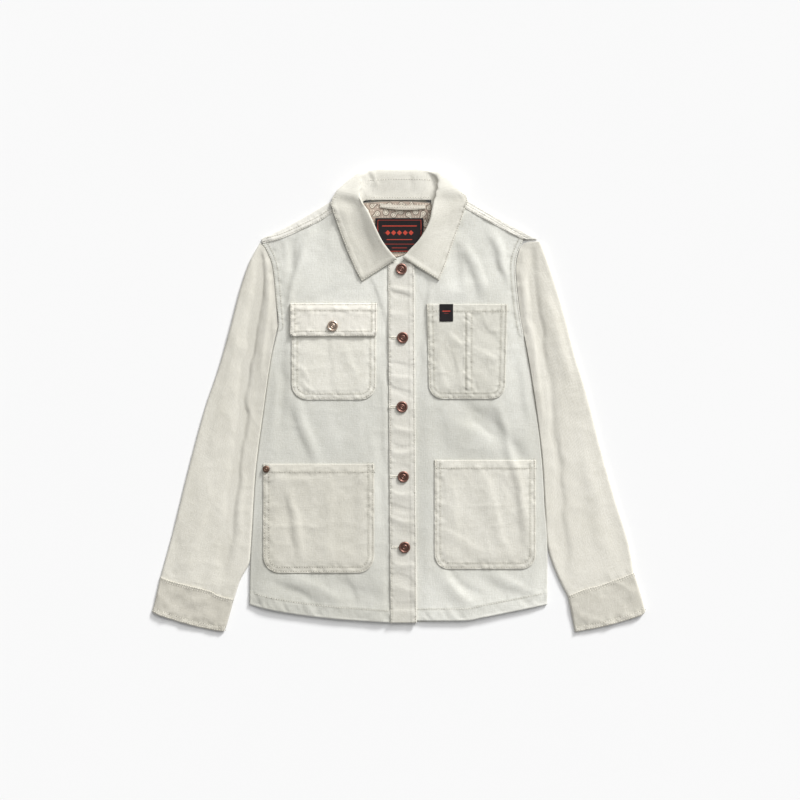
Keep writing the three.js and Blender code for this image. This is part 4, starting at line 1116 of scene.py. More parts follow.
class JACKET_OT_band(JacketStep, bpy.types.Operator):
    """Make the front band and its buttonholes"""

    bl_idname = "jacket.band"
    bl_label = "Front band"

    def execute(self, context):
        left = np.array([(BAND.seam_bottom, BAND.bottom), (BAND.seam_top, BAND.top)], float)
        right = np.array([(BAND.edge_bottom, BAND.bottom), (BAND.edge_top, BAND.top)], float)
        bottom, top = np.array([left[0], right[0]]), np.array([left[1], right[1]])
        width, length = 41, BAND.top - BAND.bottom
        columns = np.unique(np.concatenate([shares(width, 1.7), [0.02, 0.98]]))
        flat = patch(left, right, bottom, top, columns, shares(length, 1.7))
        x, y = plan(flat)
        side, along, _ = nearest(resample(left, PATH_STEP), x, y)
        edge, edge_along, _ = nearest(resample(right, PATH_STEP), x, y)
        hem = y - BAND.bottom
        under = band_under(x, y)
        wrinkles = np.maximum(creased(BAND_CREASES, x, y) + 0.7 * crumpled(x, y, 40) + 0.5, -0.1)
        sewn = turned(edge, 9) + turned(hem, sewing("hem"))
        for row in BAND_ROWS:
            sewn = sewn + stitched(side, along, row, 42) + stitched(edge, edge_along, row, 44)
        height = under + cloth("band") + wrinkles + sewn + rounded(np.minimum(side, np.minimum(edge, hem)), 2)
        # Painted shade in the buttonhole slits and the stitch valleys; the band is also painted darker towards the
        # bottom.
        slits = [bar_field(x, y, (b.x - 11, b.y), 7.5, 0.1) for b in BUTTONS[1:]]
        slit = -1.6 * bell(np.maximum(np.minimum.reduce(slits), 0), 0.7)
        wear_and_shade = combine_wear_and_shade(edge_wear_and_row_shade(side, BAND_ROWS), edge_wear_and_row_shade(edge, BAND_ROWS), slit)
        wear_and_shade = wear_and_shade - BAND_LOW_DARKER * (1 - ease(y, -350, 100))
        lay("band", flat, height, under, "band_canvas", "placket", wear_and_shade)
        for row in BAND_ROWS:
            sew("body", left + (row, 0), ["band"])
            sew("body", right - (row, 0), ["band"])
        for button in BUTTONS[1:]:
            self.buttonhole(button)
        return {"FINISHED"}

    def buttonhole(self, button):
        """Close stitches round a slit that runs from the button towards the seam."""
        start, end, half = button.x - 19, button.x - 3, 1.1
        for side in (-half, half):
            sew("buttonholes", [(start, button.y + side), (end, button.y + side)], ["band"], 0.8, 0.15)
        sew("buttonholes", [(start - 0.6, button.y - 1.6), (start - 0.6, button.y + 1.6)], ["band"], 0.8, 0.2)


def pocket_edge(pocket):
    """A pocket's sides and bottom as one line, from the upper left corner down and round."""
    corner, squeeze = pocket.corner, pocket.narrowing
    bend = np.linspace(0, np.pi / 2, 9)
    left, right = pocket.left + squeeze, pocket.right - squeeze
    lower_left = np.column_stack([left + corner * (1 - np.cos(bend)), pocket.bottom + corner * (1 - np.sin(bend))])
    lower_right = np.column_stack([right - corner * (1 - np.sin(bend)), pocket.bottom + corner * (1 - np.cos(bend))])
    ends = np.array([(pocket.left, pocket.top)], float), np.array([(pocket.right, pocket.top)], float)
    return np.vstack([ends[0], lower_left, lower_right, ends[1]])


def pocket_grid(pocket, cell):
    """A grid of points over a pocket, its columns following the round corners."""
    path = pocket_edge(pocket)
    top = np.array([(pocket.left, pocket.top), (pocket.right, pocket.top)], float)
    return patch(path[:2][::-1], path[-2:], path[1:-1], top, shares(pocket.right - pocket.left, cell),
            shares(pocket.top - pocket.bottom, cell))


def pocket_top(pocket, x, y):
    """Height of a pocket's upper side, and its wear and painted shade."""
    edge, along, _ = nearest(resample(pocket_edge(pocket), 3), x, y)
    mouth = pocket.top - y
    height = front_top(x, y, pocket.half) + cloth("gap") + cloth("pocket")
    height = height + ease(np.minimum(edge, mouth + 6), 4, 20) * (
        np.maximum(creased(POCKET_CREASES, x, y) + 0.8 * crumpled(x, y, 50), -0.9) + 0.9)
    sewn = 0.6 * turned(edge, POCKET_ROWS[1] + 1.5) + 0.5 * turned(mouth, pocket.mouth_row + 1.5)
    for row, seed in zip(POCKET_ROWS, (52, 54)):
        sewn = sewn + stitched(edge, along, row, seed)
    sewn = sewn + stitched(mouth, x, pocket.mouth_row, 56)
    # Wear on the edges and painted shade in the stitch valleys.
    wear_and_shade = combine_wear_and_shade(edge_wear_and_row_shade(edge, POCKET_ROWS, 0.1), edge_wear_and_row_shade(mouth, [pocket.mouth_row], 0.1))
    if pocket.name == "chest_pocket_left":
        high, low = PEN_SLOT_ENDS
        inside = ease(y, low, low + 4) * (1 - ease(y, high - 3, high))
        for slot_x, depth, seed in zip(PEN_SLOT_X, (1.5, 0.7), (58, 60)):
            from_slot = x - slot_x
            sewn = sewn + inside * depth * stitched(from_slot + 5, y, 5, seed)
            # Painted shade along the pen slot's rows.
            wear_and_shade = combine_wear_and_shade(wear_and_shade, -0.7 * depth * inside * bell(from_slot, 1.1))
        strip = ease(x, PEN_SLOT_X[0], PEN_SLOT_X[0] + 2) * (1 - ease(x, PEN_SLOT_X[1] - 2, PEN_SLOT_X[1]))
        sewn = sewn + inside * strip * (0.3 + 0.45 * cloud(y + 0.8 * x, 0.2 * x, 3.4, 62))
    height = height + sewn + rounded(np.minimum(edge, np.abs(mouth)), cloth("pocket"))
    return height, wear_and_shade


class JACKET_OT_pockets(JacketStep, bpy.types.Operator):
    """Make the four patch pockets"""

    bl_idname = "jacket.pockets"
    bl_label = "Pockets"

    def execute(self, context):
        for pocket in POCKETS:
            flat = pocket_grid(pocket, 1.5 if "chest" in pocket.name else 1.9)
            x, y = plan(flat)
            height, wear_and_shade = pocket_top(pocket, x, y)
            under = front_top(x, y, pocket.half) + cloth("gap")
            name = pocket.name + "_cloth"
            lay(name, flat, height, under, pocket.name + "_canvas", pocket.name,
                wear_and_shade)
            path = resample(pocket_edge(pocket), 3)
            for row in POCKET_ROWS:
                sew("pockets", offset(path, row), [name])
            mouth = pocket.top - pocket.mouth_row
            sew("pockets", [(pocket.left + 1, mouth), (pocket.right - 1, mouth)], [name])
            for x_end in (pocket.left + 1.5, pocket.right - 1.5):
                sew("buttonholes", [(x_end, pocket.top - 1), (x_end, pocket.top - 9)], [name], 0.8, 0.2)
        for slot_x in PEN_SLOT_X:
            line = [(slot_x, PEN_SLOT_ENDS[0]), (slot_x, PEN_SLOT_ENDS[1])]
            sew("pockets", line, ["chest_pocket_left_cloth"])
        return {"FINISHED"}


class JACKET_OT_flap(JacketStep, bpy.types.Operator):
    """Make the flap over the right chest pocket"""

    bl_idname = "jacket.flap"
    bl_label = "Pocket flap"

    def execute(self, context):
        flat = pocket_grid(FLAP, 2)
        x, y = plan(flat)
        carried, _ = pocket_top(POCKETS[0], np.clip(x, POCKETS[0].left + 2, POCKETS[0].right - 2),
                np.minimum(y, POCKETS[0].top - 2))
        above = front_top(x, y, "right")
        base = mix(carried, above, ease(y, 141, 149)) + cloth("gap")
        edge, along, _ = nearest(resample(pocket_edge(FLAP), 3), x, y)
        seam = FLAP.top - y
        from_button = np.hypot(x - FLAP_BUTTON.x, y - FLAP_BUTTON.y)
        lifted = 0.9 * ease(seam, 10, 44) * ease(from_button, 8, 34)
        under = base + lifted
        sewn = turned(edge, 9) + turned(seam, 12)
        for row, seed in zip(double_rows(), (60, 62)):
            sewn = sewn + stitched(edge, along, row, seed)
        for row, seed in zip(FLAP_SEAM_ROWS, (64, 66)):
            sewn = sewn + stitched(seam, x, row, seed)
        waves = 0.7 * crumpled(x, y, 68) + 0.45
        height = under + cloth("flap") + np.maximum(waves, 0) + sewn + rounded(np.minimum(edge, seam), 2.2)
        # Wear on the edges and painted shade in the stitch valleys.
        wear_and_shade = combine_wear_and_shade(edge_wear_and_row_shade(edge, double_rows()), edge_wear_and_row_shade(seam, FLAP_SEAM_ROWS))
        lay("flap", flat, height, under, "flap_canvas", "pocket_flap", wear_and_shade)
        path = resample(pocket_edge(FLAP), 3)
        for row in double_rows():
            sew("pockets", offset(path, row), ["flap"])
        for row in FLAP_SEAM_ROWS:
            sew("pockets", [(FLAP.left + 1, FLAP.top - row), (FLAP.right - 1, FLAP.top - row)], ["flap"])
        return {"FINISHED"}


def bar_field(x, y, centre, half_width, half_height):
    """Distance in millimetres to an upright rectangle, below 0 inside it."""
    return np.maximum(np.abs(x - centre[0]) - half_width, np.abs(y - centre[1]) - half_height)


class JACKET_OT_tab(JacketStep, bpy.types.Operator):
    """Make the small dark tab sewn over the left chest pocket's mouth"""

    bl_idname = "jacket.tab"
    bl_label = "Pocket tab"

    def execute(self, context):
        flat = pocket_grid(TAB, 1)
        x, y = plan(flat)
        carried, _ = pocket_top(POCKETS[1], x, np.minimum(y, POCKETS[1].top - 1.5))
        under = carried + cloth("gap")
        edge, _, _ = nearest(resample(pocket_edge(TAB), 2), x, y)
        height = under + cloth("lining") + 0.12 * cloud(x, y, 6, 70) + rounded(edge, 1)
        middle = (TAB.left + TAB.right) / 2
        mark = np.minimum(bar_field(x, y, (middle, 137), 6.2, 0.8), bar_field(x, y, (middle, 133.5), 4, 0.45))
        lay("tab", flat, height, under, "label", "pocket_tab", marks={"mark": mark})
        return {"FINISHED"}


YOKE_SEAMS = {
    "right": ([(-211, 243.5), (-184, 249.5), (-153, 262.6), (-122, 277.8), (-102, 291), (-88, 298)],
        [(-213, 249), (-184, 263), (-153, 279), (-122, 297), (-104, 307), (-90, 313)]),
    "left": ([(191, 248.5), (157, 266.6), (126, 283.8), (103, 297), (90, 303)],
        [(215, 249), (188, 263), (157, 279), (126, 296), (104, 309), (92, 315)]),
}
YOKE_OVERLAP = 1.2
YOKE_UNDER = 8.5
YOKE_HEIGHT = 5.4
YOKE_END_HEIGHT = 3.4
YOKE_SECTIONS = 74
YOKE_POINTS = 44
YOKE_ROWS = {"right": (1.7, 7.5), "left": (1.7, 6.5, 11)}


def walled(section, thick):
    """The inner line of a section: each point moved inward by the cloth's thickness."""
    way = np.gradient(section, axis=0)
    way /= np.linalg.norm(way, axis=1)[:, None]
    return section + thick * np.column_stack([-way[:, 1], way[:, 0]])


class JACKET_OT_yokes(JacketStep, bpy.types.Operator):
    """Make the shoulder yokes, which roll over the shoulders"""

    bl_idname = "jacket.yokes"
    bl_label = "Shoulder yokes"

    def execute(self, context):
        for half, (seam_points, fold_points) in YOKE_SEAMS.items():
            even = np.linspace(0, 1, YOKE_SECTIONS)
            seam, fold = at(spline(seam_points), even), at(spline(fold_points), even)
            outer, inner, grain, wear_and_shade = [], [], [], []
            tops = front_top(seam[:, 0], seam[:, 1], half)
            for j in range(YOKE_SECTIONS):
                width = np.linalg.norm(seam[j] - fold[j])
                inward = (seam[j] - fold[j]) / width
                lift = float(neck_lift(*fold[j]))
                seam_top = tops[j] + 0.9
                high = min(seam_top, mix(YOKE_END_HEIGHT, YOKE_HEIGHT, ease(lengths(seam)[j], 0, 16)) + lift)
                control = [(width + YOKE_OVERLAP, seam_top), (width * 0.75, mix(seam_top, high, 0.35)),
                        (width * 0.5, mix(seam_top, high, 0.75)), (5, high), (1.6, high - 1),
                        (0, mix(lift, high, 0.5)), (1.6, lift + 0.7), (4, lift), (YOKE_UNDER, lift)]
                section = at(spline(control, 8), np.linspace(0, 1, YOKE_POINTS))
                run = lengths(section)
                relief = sum(stitched(run, np.full(YOKE_POINTS, j * 2.0), row, 80 + k)
                        for k, row in enumerate(YOKE_ROWS[half])) + turned(run, 9)
                relief = relief * (1 - ease(run, width, width + 4)) + rounded(run, 1.6)
                lined = walled(section, cloth("canvas"))
                section = section + np.column_stack([np.zeros(YOKE_POINTS), relief])
                for line, target in ((section, outer), (lined, inner)):
                    flat = fold[j] + line[:, :1] * inward
                    target.append(np.column_stack([flat, line[:, 1]]))
                grain.append(np.column_stack([np.full(YOKE_POINTS, lengths(seam)[j]), run]))
                # Painted shade in the valleys of the yoke's stitch rows.
                wear_and_shade.append(edge_wear_and_row_shade(run, YOKE_ROWS[half]))
            name = f"yoke_{half}_cloth"
            piece = shell(name, np.array(outer), np.array(inner), np.array(grain), np.array(wear_and_shade))
            dress(piece, "yoke_canvas")
            settle(piece, ["yoke_" + half])
            inward = 1 if half == "right" else -1
            for row in YOKE_ROWS[half]:
                sew("body", offset(resample(seam, 4), inward * (row - YOKE_OVERLAP)), [name])
        return {"FINISHED"}


TUBE_EDGE = 4
TUBE_RIM = (0, 0.12, 0.45, 1, 1.8, 2.8, 4, 5.5)
CUFF_SEAM = {
    "right": [(-369, -275), (-355, -281), (-324, -289), (-293, -297), (-277, -305), (-255, -310)],
    "left": [(262, -305), (281, -297), (296, -292), (312, -288), (343, -277), (364, -269)],
}
SLEEVE_OUTER = {
    "right": [(-369, -275), (-349, -202), (-326, -109), (-301, -16), (-280, 46), (-262, 108), (-246, 170),
        (-231, 214), (-215, 243)],
    "left": [(364, -269), (355, -217), (336, -155), (314, -78), (290, 15), (271, 77), (250, 155), (235, 203),
        (220, 245)],
}
SLEEVE_INNER = {
    "right": [(-255, -310), (-245, -279), (-232, -255), (-229, -233)] + SIDE["right"][2:] + [(-187, 114)],
    "left": [(262, -305), (251, -284), (237, -251), (229.5, -220)] + SIDE["left"][2:] + [(193, 104)],
}
SLEEVE_HEAD = {
    "right": ARMHOLE["right"] + [(-215, 243)],
    "left": [(193, 104), (187, 139), (181, 198), (184, 225), (193, 242), (219, 245)],
}
SIDE_GAP = 0.3


def tube(name, edges, cell, thick, height_at, seed):
    """A flattened tube of cloth over a patch, open at both ends, flat underneath."""
    left, right, bottom, top = edges
    width = np.linalg.norm(at(bottom, [0]) - at(bottom, [1]))
    length = lengths(left)[-1]
    rim = np.array(TUBE_RIM)
    middle = np.linspace(rim[-1], width - rim[-1], round((width - 2 * rim[-1]) / cell) + 1)[1:-1]
    across = np.concatenate([rim, middle, (width - rim)[::-1]]) / width
    flat = patch(left, right, bottom, top, across, shares(length, cell))
    x, y = plan(flat)
    wide = np.linalg.norm(flat[:, -1] - flat[:, 0], axis=1)[:, None]
    share = across[None, :]
    edge = np.minimum(share, 1 - share) * wide
    bulge = lambda radius: np.sqrt(1 - (1 - np.clip(edge / radius, 0, 1)) ** 2)
    high = height_at(x, y)
    middle_height = np.minimum(thick + 0.5, high / 2)
    over = mix(middle_height, high, bulge(TUBE_EDGE))
    below = middle_height * (1 - bulge(TUBE_EDGE))
    inset = thick / wide
    line = mix(inset, 1 - inset, share)[..., None]
    chord = lambda s: mix(flat[:, :1], flat[:, -1:], s)
    lining = chord(line) + flat - chord(share[..., None] * np.ones_like(line))
    roof = mix(middle_height + 0.1, high - thick, bulge(TUBE_EDGE - thick))
    base = mix(middle_height - 0.1, thick, bulge(TUBE_EDGE - thick))
    outer = np.concatenate([with_height(flat, over), with_height(flat, below)[:, -2:0:-1]], 1)
    inner = np.concatenate([with_height(lining, roof), with_height(lining, base)[:, -2:0:-1]], 1)
    run = share * wide
    back = 2 * wide - run[:, -2:0:-1]
    along = np.repeat(lengths(flat[:, 0])[:, None], outer.shape[1], 1)
    grain = np.dstack([np.concatenate([run, back], 1), along])
    side_wear = 0.5 * bell(edge, 2)
    wear_and_shade = np.concatenate([side_wear, side_wear[:, -2:0:-1]], 1)
    return shell(name, outer, inner, grain, wear_and_shade, around=True), flat


def sleeve_height(half):
    """Height of a sleeve's upper side: it sinks at the armhole and at the cuff."""
    head = resample(spline(ARMHOLE[half]), PATH_STEP)
    foot = resample(spline(CUFF_SEAM[half]), PATH_STEP)

    def height(x, y):
        from_head, head_along, _ = nearest(head, x, y)
        from_foot, foot_along, _ = nearest(foot, x, y)
        base = mix(5.2, cloth("sleeve_height"), ease(y, -300, 200))
        base = base - 1.5 * (1 - ease(from_head, 0, 9)) - 0.2 * (1 - ease(from_foot, 1, 10))
        lively = ease(from_head, -4, 14) * ease(from_foot, 0, 14)
        base = base + lively * (creased(SLEEVE_CREASES, x, y) + crumpled(x, y, 90))
        gathers = cloud(head_along, from_head * 0.3, 9, 92) * bell(from_head, 13)
        pinch = cloud(foot_along, from_foot * 0.3, 8, 94) * bell(from_foot, 12)
        pinch = pinch * ease(from_foot, 0, 5)
        return np.maximum(base + 0.6 * gathers + 0.6 * pinch, 2 * cloth("sleeve") + 0.6)

    return height


class JACKET_OT_sleeves(JacketStep, bpy.types.Operator):
    """Make the sleeves, flattened tubes beside the body"""

    bl_idname = "jacket.sleeves"
    bl_label = "Sleeves"

    def execute(self, context):
        for half in ("right", "left"):
            outer_edge, head = spline(SLEEVE_OUTER[half]), spline(SLEEVE_HEAD[half])
            cuff_seam = spline(CUFF_SEAM[half])
            if half == "right":
                edges = (outer_edge, spline(SLEEVE_INNER[half]) - (SIDE_GAP, 0), cuff_seam,
                        head[::-1] - (SIDE_GAP, SIDE_GAP))
            else:
                edges = (spline(SLEEVE_INNER[half]) + (SIDE_GAP, 0), outer_edge, cuff_seam,
                        head - (-SIDE_GAP, SIDE_GAP))
            name = f"sleeve_{half}_cloth"
            piece, flat = tube(name, edges, cloth("cell"), cloth("sleeve"), sleeve_height(half), 90)
            dress(piece, f"sleeve_{half}_canvas")
            settle(piece, ["sleeve_" + half])
        return {"FINISHED"}


CUFF_EDGES = {
    "right": ([(-382, -328), (-377, -310), (-369.5, -276)], [(-270, -358.5), (-265, -344), (-255.5, -311)],
        [(-382, -328), (-370, -334), (-339, -344), (-308, -352), (-285, -357), (-270, -358.5)]),
    "left": ([(273, -359.5), (268, -334), (262, -306)], [(382, -327), (373, -295), (364, -270)],
        [(273, -359.5), (281, -358), (312, -352), (343, -344), (374, -334), (382, -327)]),
}
CUFF_SEAM_MOVE = {"right": (-0.2, 1.4), "left": (0.1, 1.4)}
CUFF_ROWS = (1.9, 7)
CUFF_SEAM_ROWS = (1.2, 4.6)


def cuff_height(half):
    """Height of a cuff's upper side, with its stitch rows at the seam and at the mouth."""
    seam = resample(spline(CUFF_SEAM[half]) + CUFF_SEAM_MOVE[half], PATH_STEP)
    mouth = resample(spline(CUFF_EDGES[half][2]), PATH_STEP)

    def height(x, y):
        from_seam, seam_along, _ = nearest(seam, x, y)
        from_mouth, mouth_along, _ = nearest(mouth, x, y)
        sewn = 0.4 * turned(from_seam, 3.4) + 0.4 * stitched(from_seam, seam_along, CUFF_SEAM_ROWS[1], 100)
        for row, seed in zip(CUFF_ROWS, (102, 104)):
            sewn = sewn + stitched(from_mouth, mouth_along, row, seed)
        waves = 1.7 * crumpled(x, y, 106) + 0.7 * cloud(x, y, 13, 108)
        rim = rounded(from_mouth, 2) + 0.4 * rounded(from_seam, 2)
        return cloth("cuff_height") - 0.3 + sewn + waves + rim

    return height


class JACKET_OT_cuffs(JacketStep, bpy.types.Operator):
    """Make the cuffs"""

    bl_idname = "jacket.cuffs"
    bl_label = "Cuffs"

    def execute(self, context):
        for half, (left, right, mouth) in CUFF_EDGES.items():
            seam = spline(CUFF_SEAM[half]) + CUFF_SEAM_MOVE[half]
            name = f"cuff_{half}_cloth"
            edges = (spline(left[:-1] + [tuple(seam[0])]), spline(right[:-1] + [tuple(seam[-1])]),
                    spline(mouth), seam)
            piece, flat = tube(name, edges, 2, cloth("cuff"), cuff_height(half), 100)
            dress(piece, f"cuff_{half}_canvas")
            settle(piece, ["cuff_" + half])
            for row in CUFF_SEAM_ROWS:
                sew("sleeves", offset(resample(seam, 4), -row), [name])
            for row in CUFF_ROWS:
                sew("sleeves", offset(resample(spline(mouth), 4), row), [name])
        return {"FINISHED"}


def drop_field(x, y, centre, size, turn):
    """Distance to a bent drop: a round body with a tail that curls to a point, below 0 inside."""
    c, s = math.cos(turn), math.sin(turn)
    u, v = c * (x - centre[0]) + s * (y - centre[1]), -s * (x - centre[0]) + c * (y - centre[1])
    rise = np.clip(v / (2.1 * size), 0, 1)
    bend = 0.9 * size * rise ** 2
    radius = size * (1 - rise) ** 0.8
    return np.hypot(u - bend, v - np.clip(v, 0, 2.1 * size)) - radius


DOT_SPACING = 4.3
DOT_RADIUS = 0.95
Drop = namedtuple("Drop", "x y size turn")
DROPS = [
    Drop(-50, 292, 4.4, 0.6), Drop(-41, 300, 3.8, -0.9), Drop(-33, 288, 4.4, 2.4), Drop(-20, 290, 4.8, 0.3),
    Drop(-8, 286, 4.4, -0.7), Drop(3, 291, 4.8, 1.6), Drop(15, 287, 4.4, -2.2), Drop(26, 291, 4.8, 0.9),
    Drop(38, 288, 4.4, 2.9), Drop(47, 297, 4.4, -0.4), Drop(49, 282, 4.2, 0.7), Drop(-48, 279, 4.4, 1.2),
    Drop(-41, 267, 4.4, -1.8), Drop(42, 271, 4.4, 0.5), Drop(35, 258, 4.2, 2.0), Drop(-33, 255, 4.2, -0.5),
    Drop(-23, 242, 4.2, 1.0), Drop(24, 243, 4.2, -1.1), Drop(-14, 302, 3.8, 2.0), Drop(4, 303, 3.8, -1.4),
    Drop(20, 301, 3.8, 0.4), Drop(0, 240, 4.4, 0.2),
]


class JACKET_OT_lining(JacketStep, bpy.types.Operator):
    """Make the printed lining that shows behind the neck"""

    bl_idname = "jacket.lining"
    bl_label = "Neck lining"

    def execute(self, context):
        left = spline([(-15, 222), (-26, 234), (-36, 250), (-47, 272), (-57, 293), (-60, 304)]) + (1, 0)
        right = spline([(24, 232), (38, 247), (50, 270), (57, 293), (57, 304)]) - (1, 0)
        bottom = spline([(-14, 222), (0, 222), (23, 232)])
        top = spline([(-59, 304), (0, 307), (56, 304)])
        flat = patch(left, right, bottom, top, np.linspace(0, 1, 134), np.linspace(0, 1, 106))
        x, y = plan(flat)
        under = neck_lift(x, y) + cloth("canvas") + cloth("gap")
        waves = 0.35 * cloud(x, y, 18, 120) + 0.3
        height = under + cloth("lining") + np.maximum(waves, 0)
        fields = [drop_field(x, y, (drop.x, drop.y), drop.size, drop.turn) for drop in DROPS]
        drop = np.minimum.reduce(fields)
        outline = np.minimum(np.abs(drop) - 0.6, np.abs(drop + 2.4) - 0.4)
        cell_x = (x + y * 0.5) / DOT_SPACING
        cell_y = y * 0.866 / DOT_SPACING
        dot = DOT_SPACING * np.hypot(cell_x - np.round(cell_x), cell_y - np.round(cell_y)) - DOT_RADIUS
        dots = np.where(drop > 1.8, dot, 2)
        lay("lining", flat, height, under, "lining", "neck_lining",
            marks={"drop": drop, "outline": outline, "dots": dots})
        return {"FINISHED"}


class JACKET_OT_label(JacketStep, bpy.types.Operator):
    """Make the woven neck label"""

    bl_idname = "jacket.label"
    bl_label = "Neck label"

    def execute(self, context):
        left_side, right_side, top_y, foot = LABEL.values()
        left = spline([(-17, foot), (-30, 248), (left_side, 260), (left_side, top_y)])
        right = spline([(18, foot), (31, 248), (right_side, 262), (right_side, top_y)])
        bottom = np.array([(-17, foot), (18, foot)], float)
        top = np.array([(left_side, top_y), (right_side, top_y)], float)
        flat = patch(left, right, bottom, top, np.linspace(0, 1, 75), np.linspace(0, 1, 54))
        x, y = plan(flat)
        under = neck_lift(x, y) + cloth("canvas") + cloth("lining") + 2 * cloth("gap") + 0.65
        middle_x = (left_side + right_side) / 2
        border_box = bar_field(x, y, (middle_x, 254), 33.5, 24)
        mark = np.abs(border_box) - 0.45
        for bar_y, width, half_height in LABEL_BARS:
            mark = np.minimum(mark, bar_field(x, y, (middle_x, bar_y), width, half_height))
        step = 9
        diamond = np.abs((x - middle_x + step / 2) % step - step / 2) + np.abs(y - 258.5) - 4
        mark = np.minimum(mark, np.where(np.abs(x - middle_x) < 24, diamond, 2))
        height = under + cloth("lining") + 0.2 * cloud(x, y, 16, 130) + 0.12 * (mark < 0)
        lay("neck_label_cloth", flat, height, under, "label", "neck_label", marks={"mark": mark})
        return {"FINISHED"}


class JACKET_OT_loop(JacketStep, bpy.types.Operator):
    """Make the hanger loop at the back neck"""

    bl_idname = "jacket.loop"
    bl_label = "Hanger loop"

    def execute(self, context):
        low_left = (LOOP["left"], LOOP["top_left"] - LOOP["width"])
        low_right = (LOOP["right"], LOOP["top_right"] - LOOP["width"])
        high_left, high_right = (LOOP["left"], LOOP["top_left"]), (LOOP["right"], LOOP["top_right"])
        edges = [np.array(pair, float) for pair in ((low_left, high_left), (low_right, high_right),
                (low_left, low_right), (high_left, high_right))]
        u, v = np.linspace(0, 1, 60), np.linspace(0, 1, 11)
        flat = patch(*edges, u, v)
        arch = np.sin(np.pi * u)[None, :]
        flat[..., 1] -= LOOP["sag"] * arch
        x, y = plan(flat)
        base = cloth("canvas") + NECK_LIFT + cloth("lining") + 2 * cloth("gap") + 0.5
        under = base + (LOOP["rise"] - 0.2) * arch + 0.15 * cloud(x, y, 9, 140)
        crown = 0.25 * np.sin(np.pi * v)[:, None]
        height = under + cloth("lining") + crown
        across = np.repeat(v[:, None], len(u), 1)
        # Painted shade in the valleys of the two stitch rows.
        wear_and_shade = sum(-0.5 * bell(across - row, 0.08) for row in LOOP_ROWS)
        lay("loop", flat, height, under, "tape", "hanger_loop", wear_and_shade)
        for row in LOOP_ROWS:
            sew("collar", mix(edges[2], edges[3], row), ["loop"])
        return {"FINISHED"}


COLLAR_ROWS = 225


def track(points):
    """A smooth line through one point of each section, cut evenly between them."""
    path = spline(points, 10)
    index = np.arange(len(path))
    places = np.linspace(0, len(path) - 1, COLLAR_ROWS)
    return np.column_stack([np.interp(places, index, column) for column in path.T])


def gathered(columns, share):
    """Columns drawn to the free edge, so that a share of them can turn under in the next section."""
    if not share:
        return columns
    kept = 0.05 * share
    return np.where(columns < share, columns / share * kept, kept + (columns - share) / (1 - share) * (1 - kept))


def leaf_section(row, leaf, half, columns):
    """One section of the collar: free edge, fall, roll, and the stand down to its foot."""
    edge, roll = np.array(leaf.edge, float), np.array(leaf.roll, float)
    span = np.linalg.norm(edge - roll)
    outward = (edge - roll) / span
    wrapped = row >= LEAF_WRAPS_FROM
    points = []
    if wrapped:
        under = max(6, FALL_WIDTH - span - (leaf.roll_height - leaf.edge_height))
        for distance, height in ((span - under, 0.15), (span - under / 2, 0.15), (span - 3, 0.2),
                (span - 0.6, 1.2), (span, leaf.edge_height / 2), (span - 0.6, leaf.edge_height - 1.1)):
            points.append((*(roll + distance * outward), height))
    start = 0.1 if wrapped else 0
    for share in np.linspace(start, 0.93, 10):
        lying = 0.1 * share + 0.9 * share ** 2.4
        domed = math.sin(math.pi / 2 * share ** 0.6)
        height = mix(leaf.edge_height, leaf.roll_height, domed if wrapped else lying)
        place = edge + (roll - edge) * share
        points.append((*place, height))
    foot_height = min(6.9, leaf.roll_height - 3)
    points.append((*roll, leaf.roll_height))
    if leaf.foot is None:
        for beside, drop in ((-1.4, 0.08), (-1.8, 0.35), (-0.6, 0.7), (0.6, 1)):
            points.append((*(roll + beside * outward), mix(leaf.roll_height, foot_height, drop)))
    else:
        foot = np.array(leaf.foot, float)
        tuck = 2.5 if half == "left" else -2
        fallen = 5.5 if half == "left" else 1.2
        points.append((*(roll - 1.8 * outward), leaf.roll_height - 1.2))
        points.append((*(mix(roll, foot, 0.12) + (tuck, 0)), leaf.roll_height - fallen))
        points.append((*mix(roll, foot, 0.55), mix(leaf.roll_height - fallen, 8.4, 0.55)))
        points.append((*foot, 8.4))
    return at(spline(points, 8), columns if wrapped else gathered(columns, GATHERED[row]))


def back_section(x, columns):
    """A section of the collar at the back neck, where the fall lies under the back."""
    side = x / 66
    bend = 1 - side ** 2
    top = mix(10.4, BACK_ROLL["height"], bend)
    fold = BACK_ROLL["fold"] - 1.5 * (1 - bend)
    wide = x * 1.25
    points = [(wide, BACK_ROLL["edge"], 0.15), (wide, 322, 0.15), (mix(wide, x, 0.5), 346, 0.15),
            (x, fold - 4, 0.3), (x, fold - 1.1, 1.9), (x, fold, top * 0.5), (x, fold - 1.6, top - 1.6),
            (x, fold - 7.5, top), (x, 340, top - 0.6), (x - 2, 322, mix(top, BACK_ROLL["foot_height"], 0.8)),
            (x - 3, BACK_ROLL["foot"], BACK_ROLL["foot_height"])]
    return at(spline(points, 8), columns)


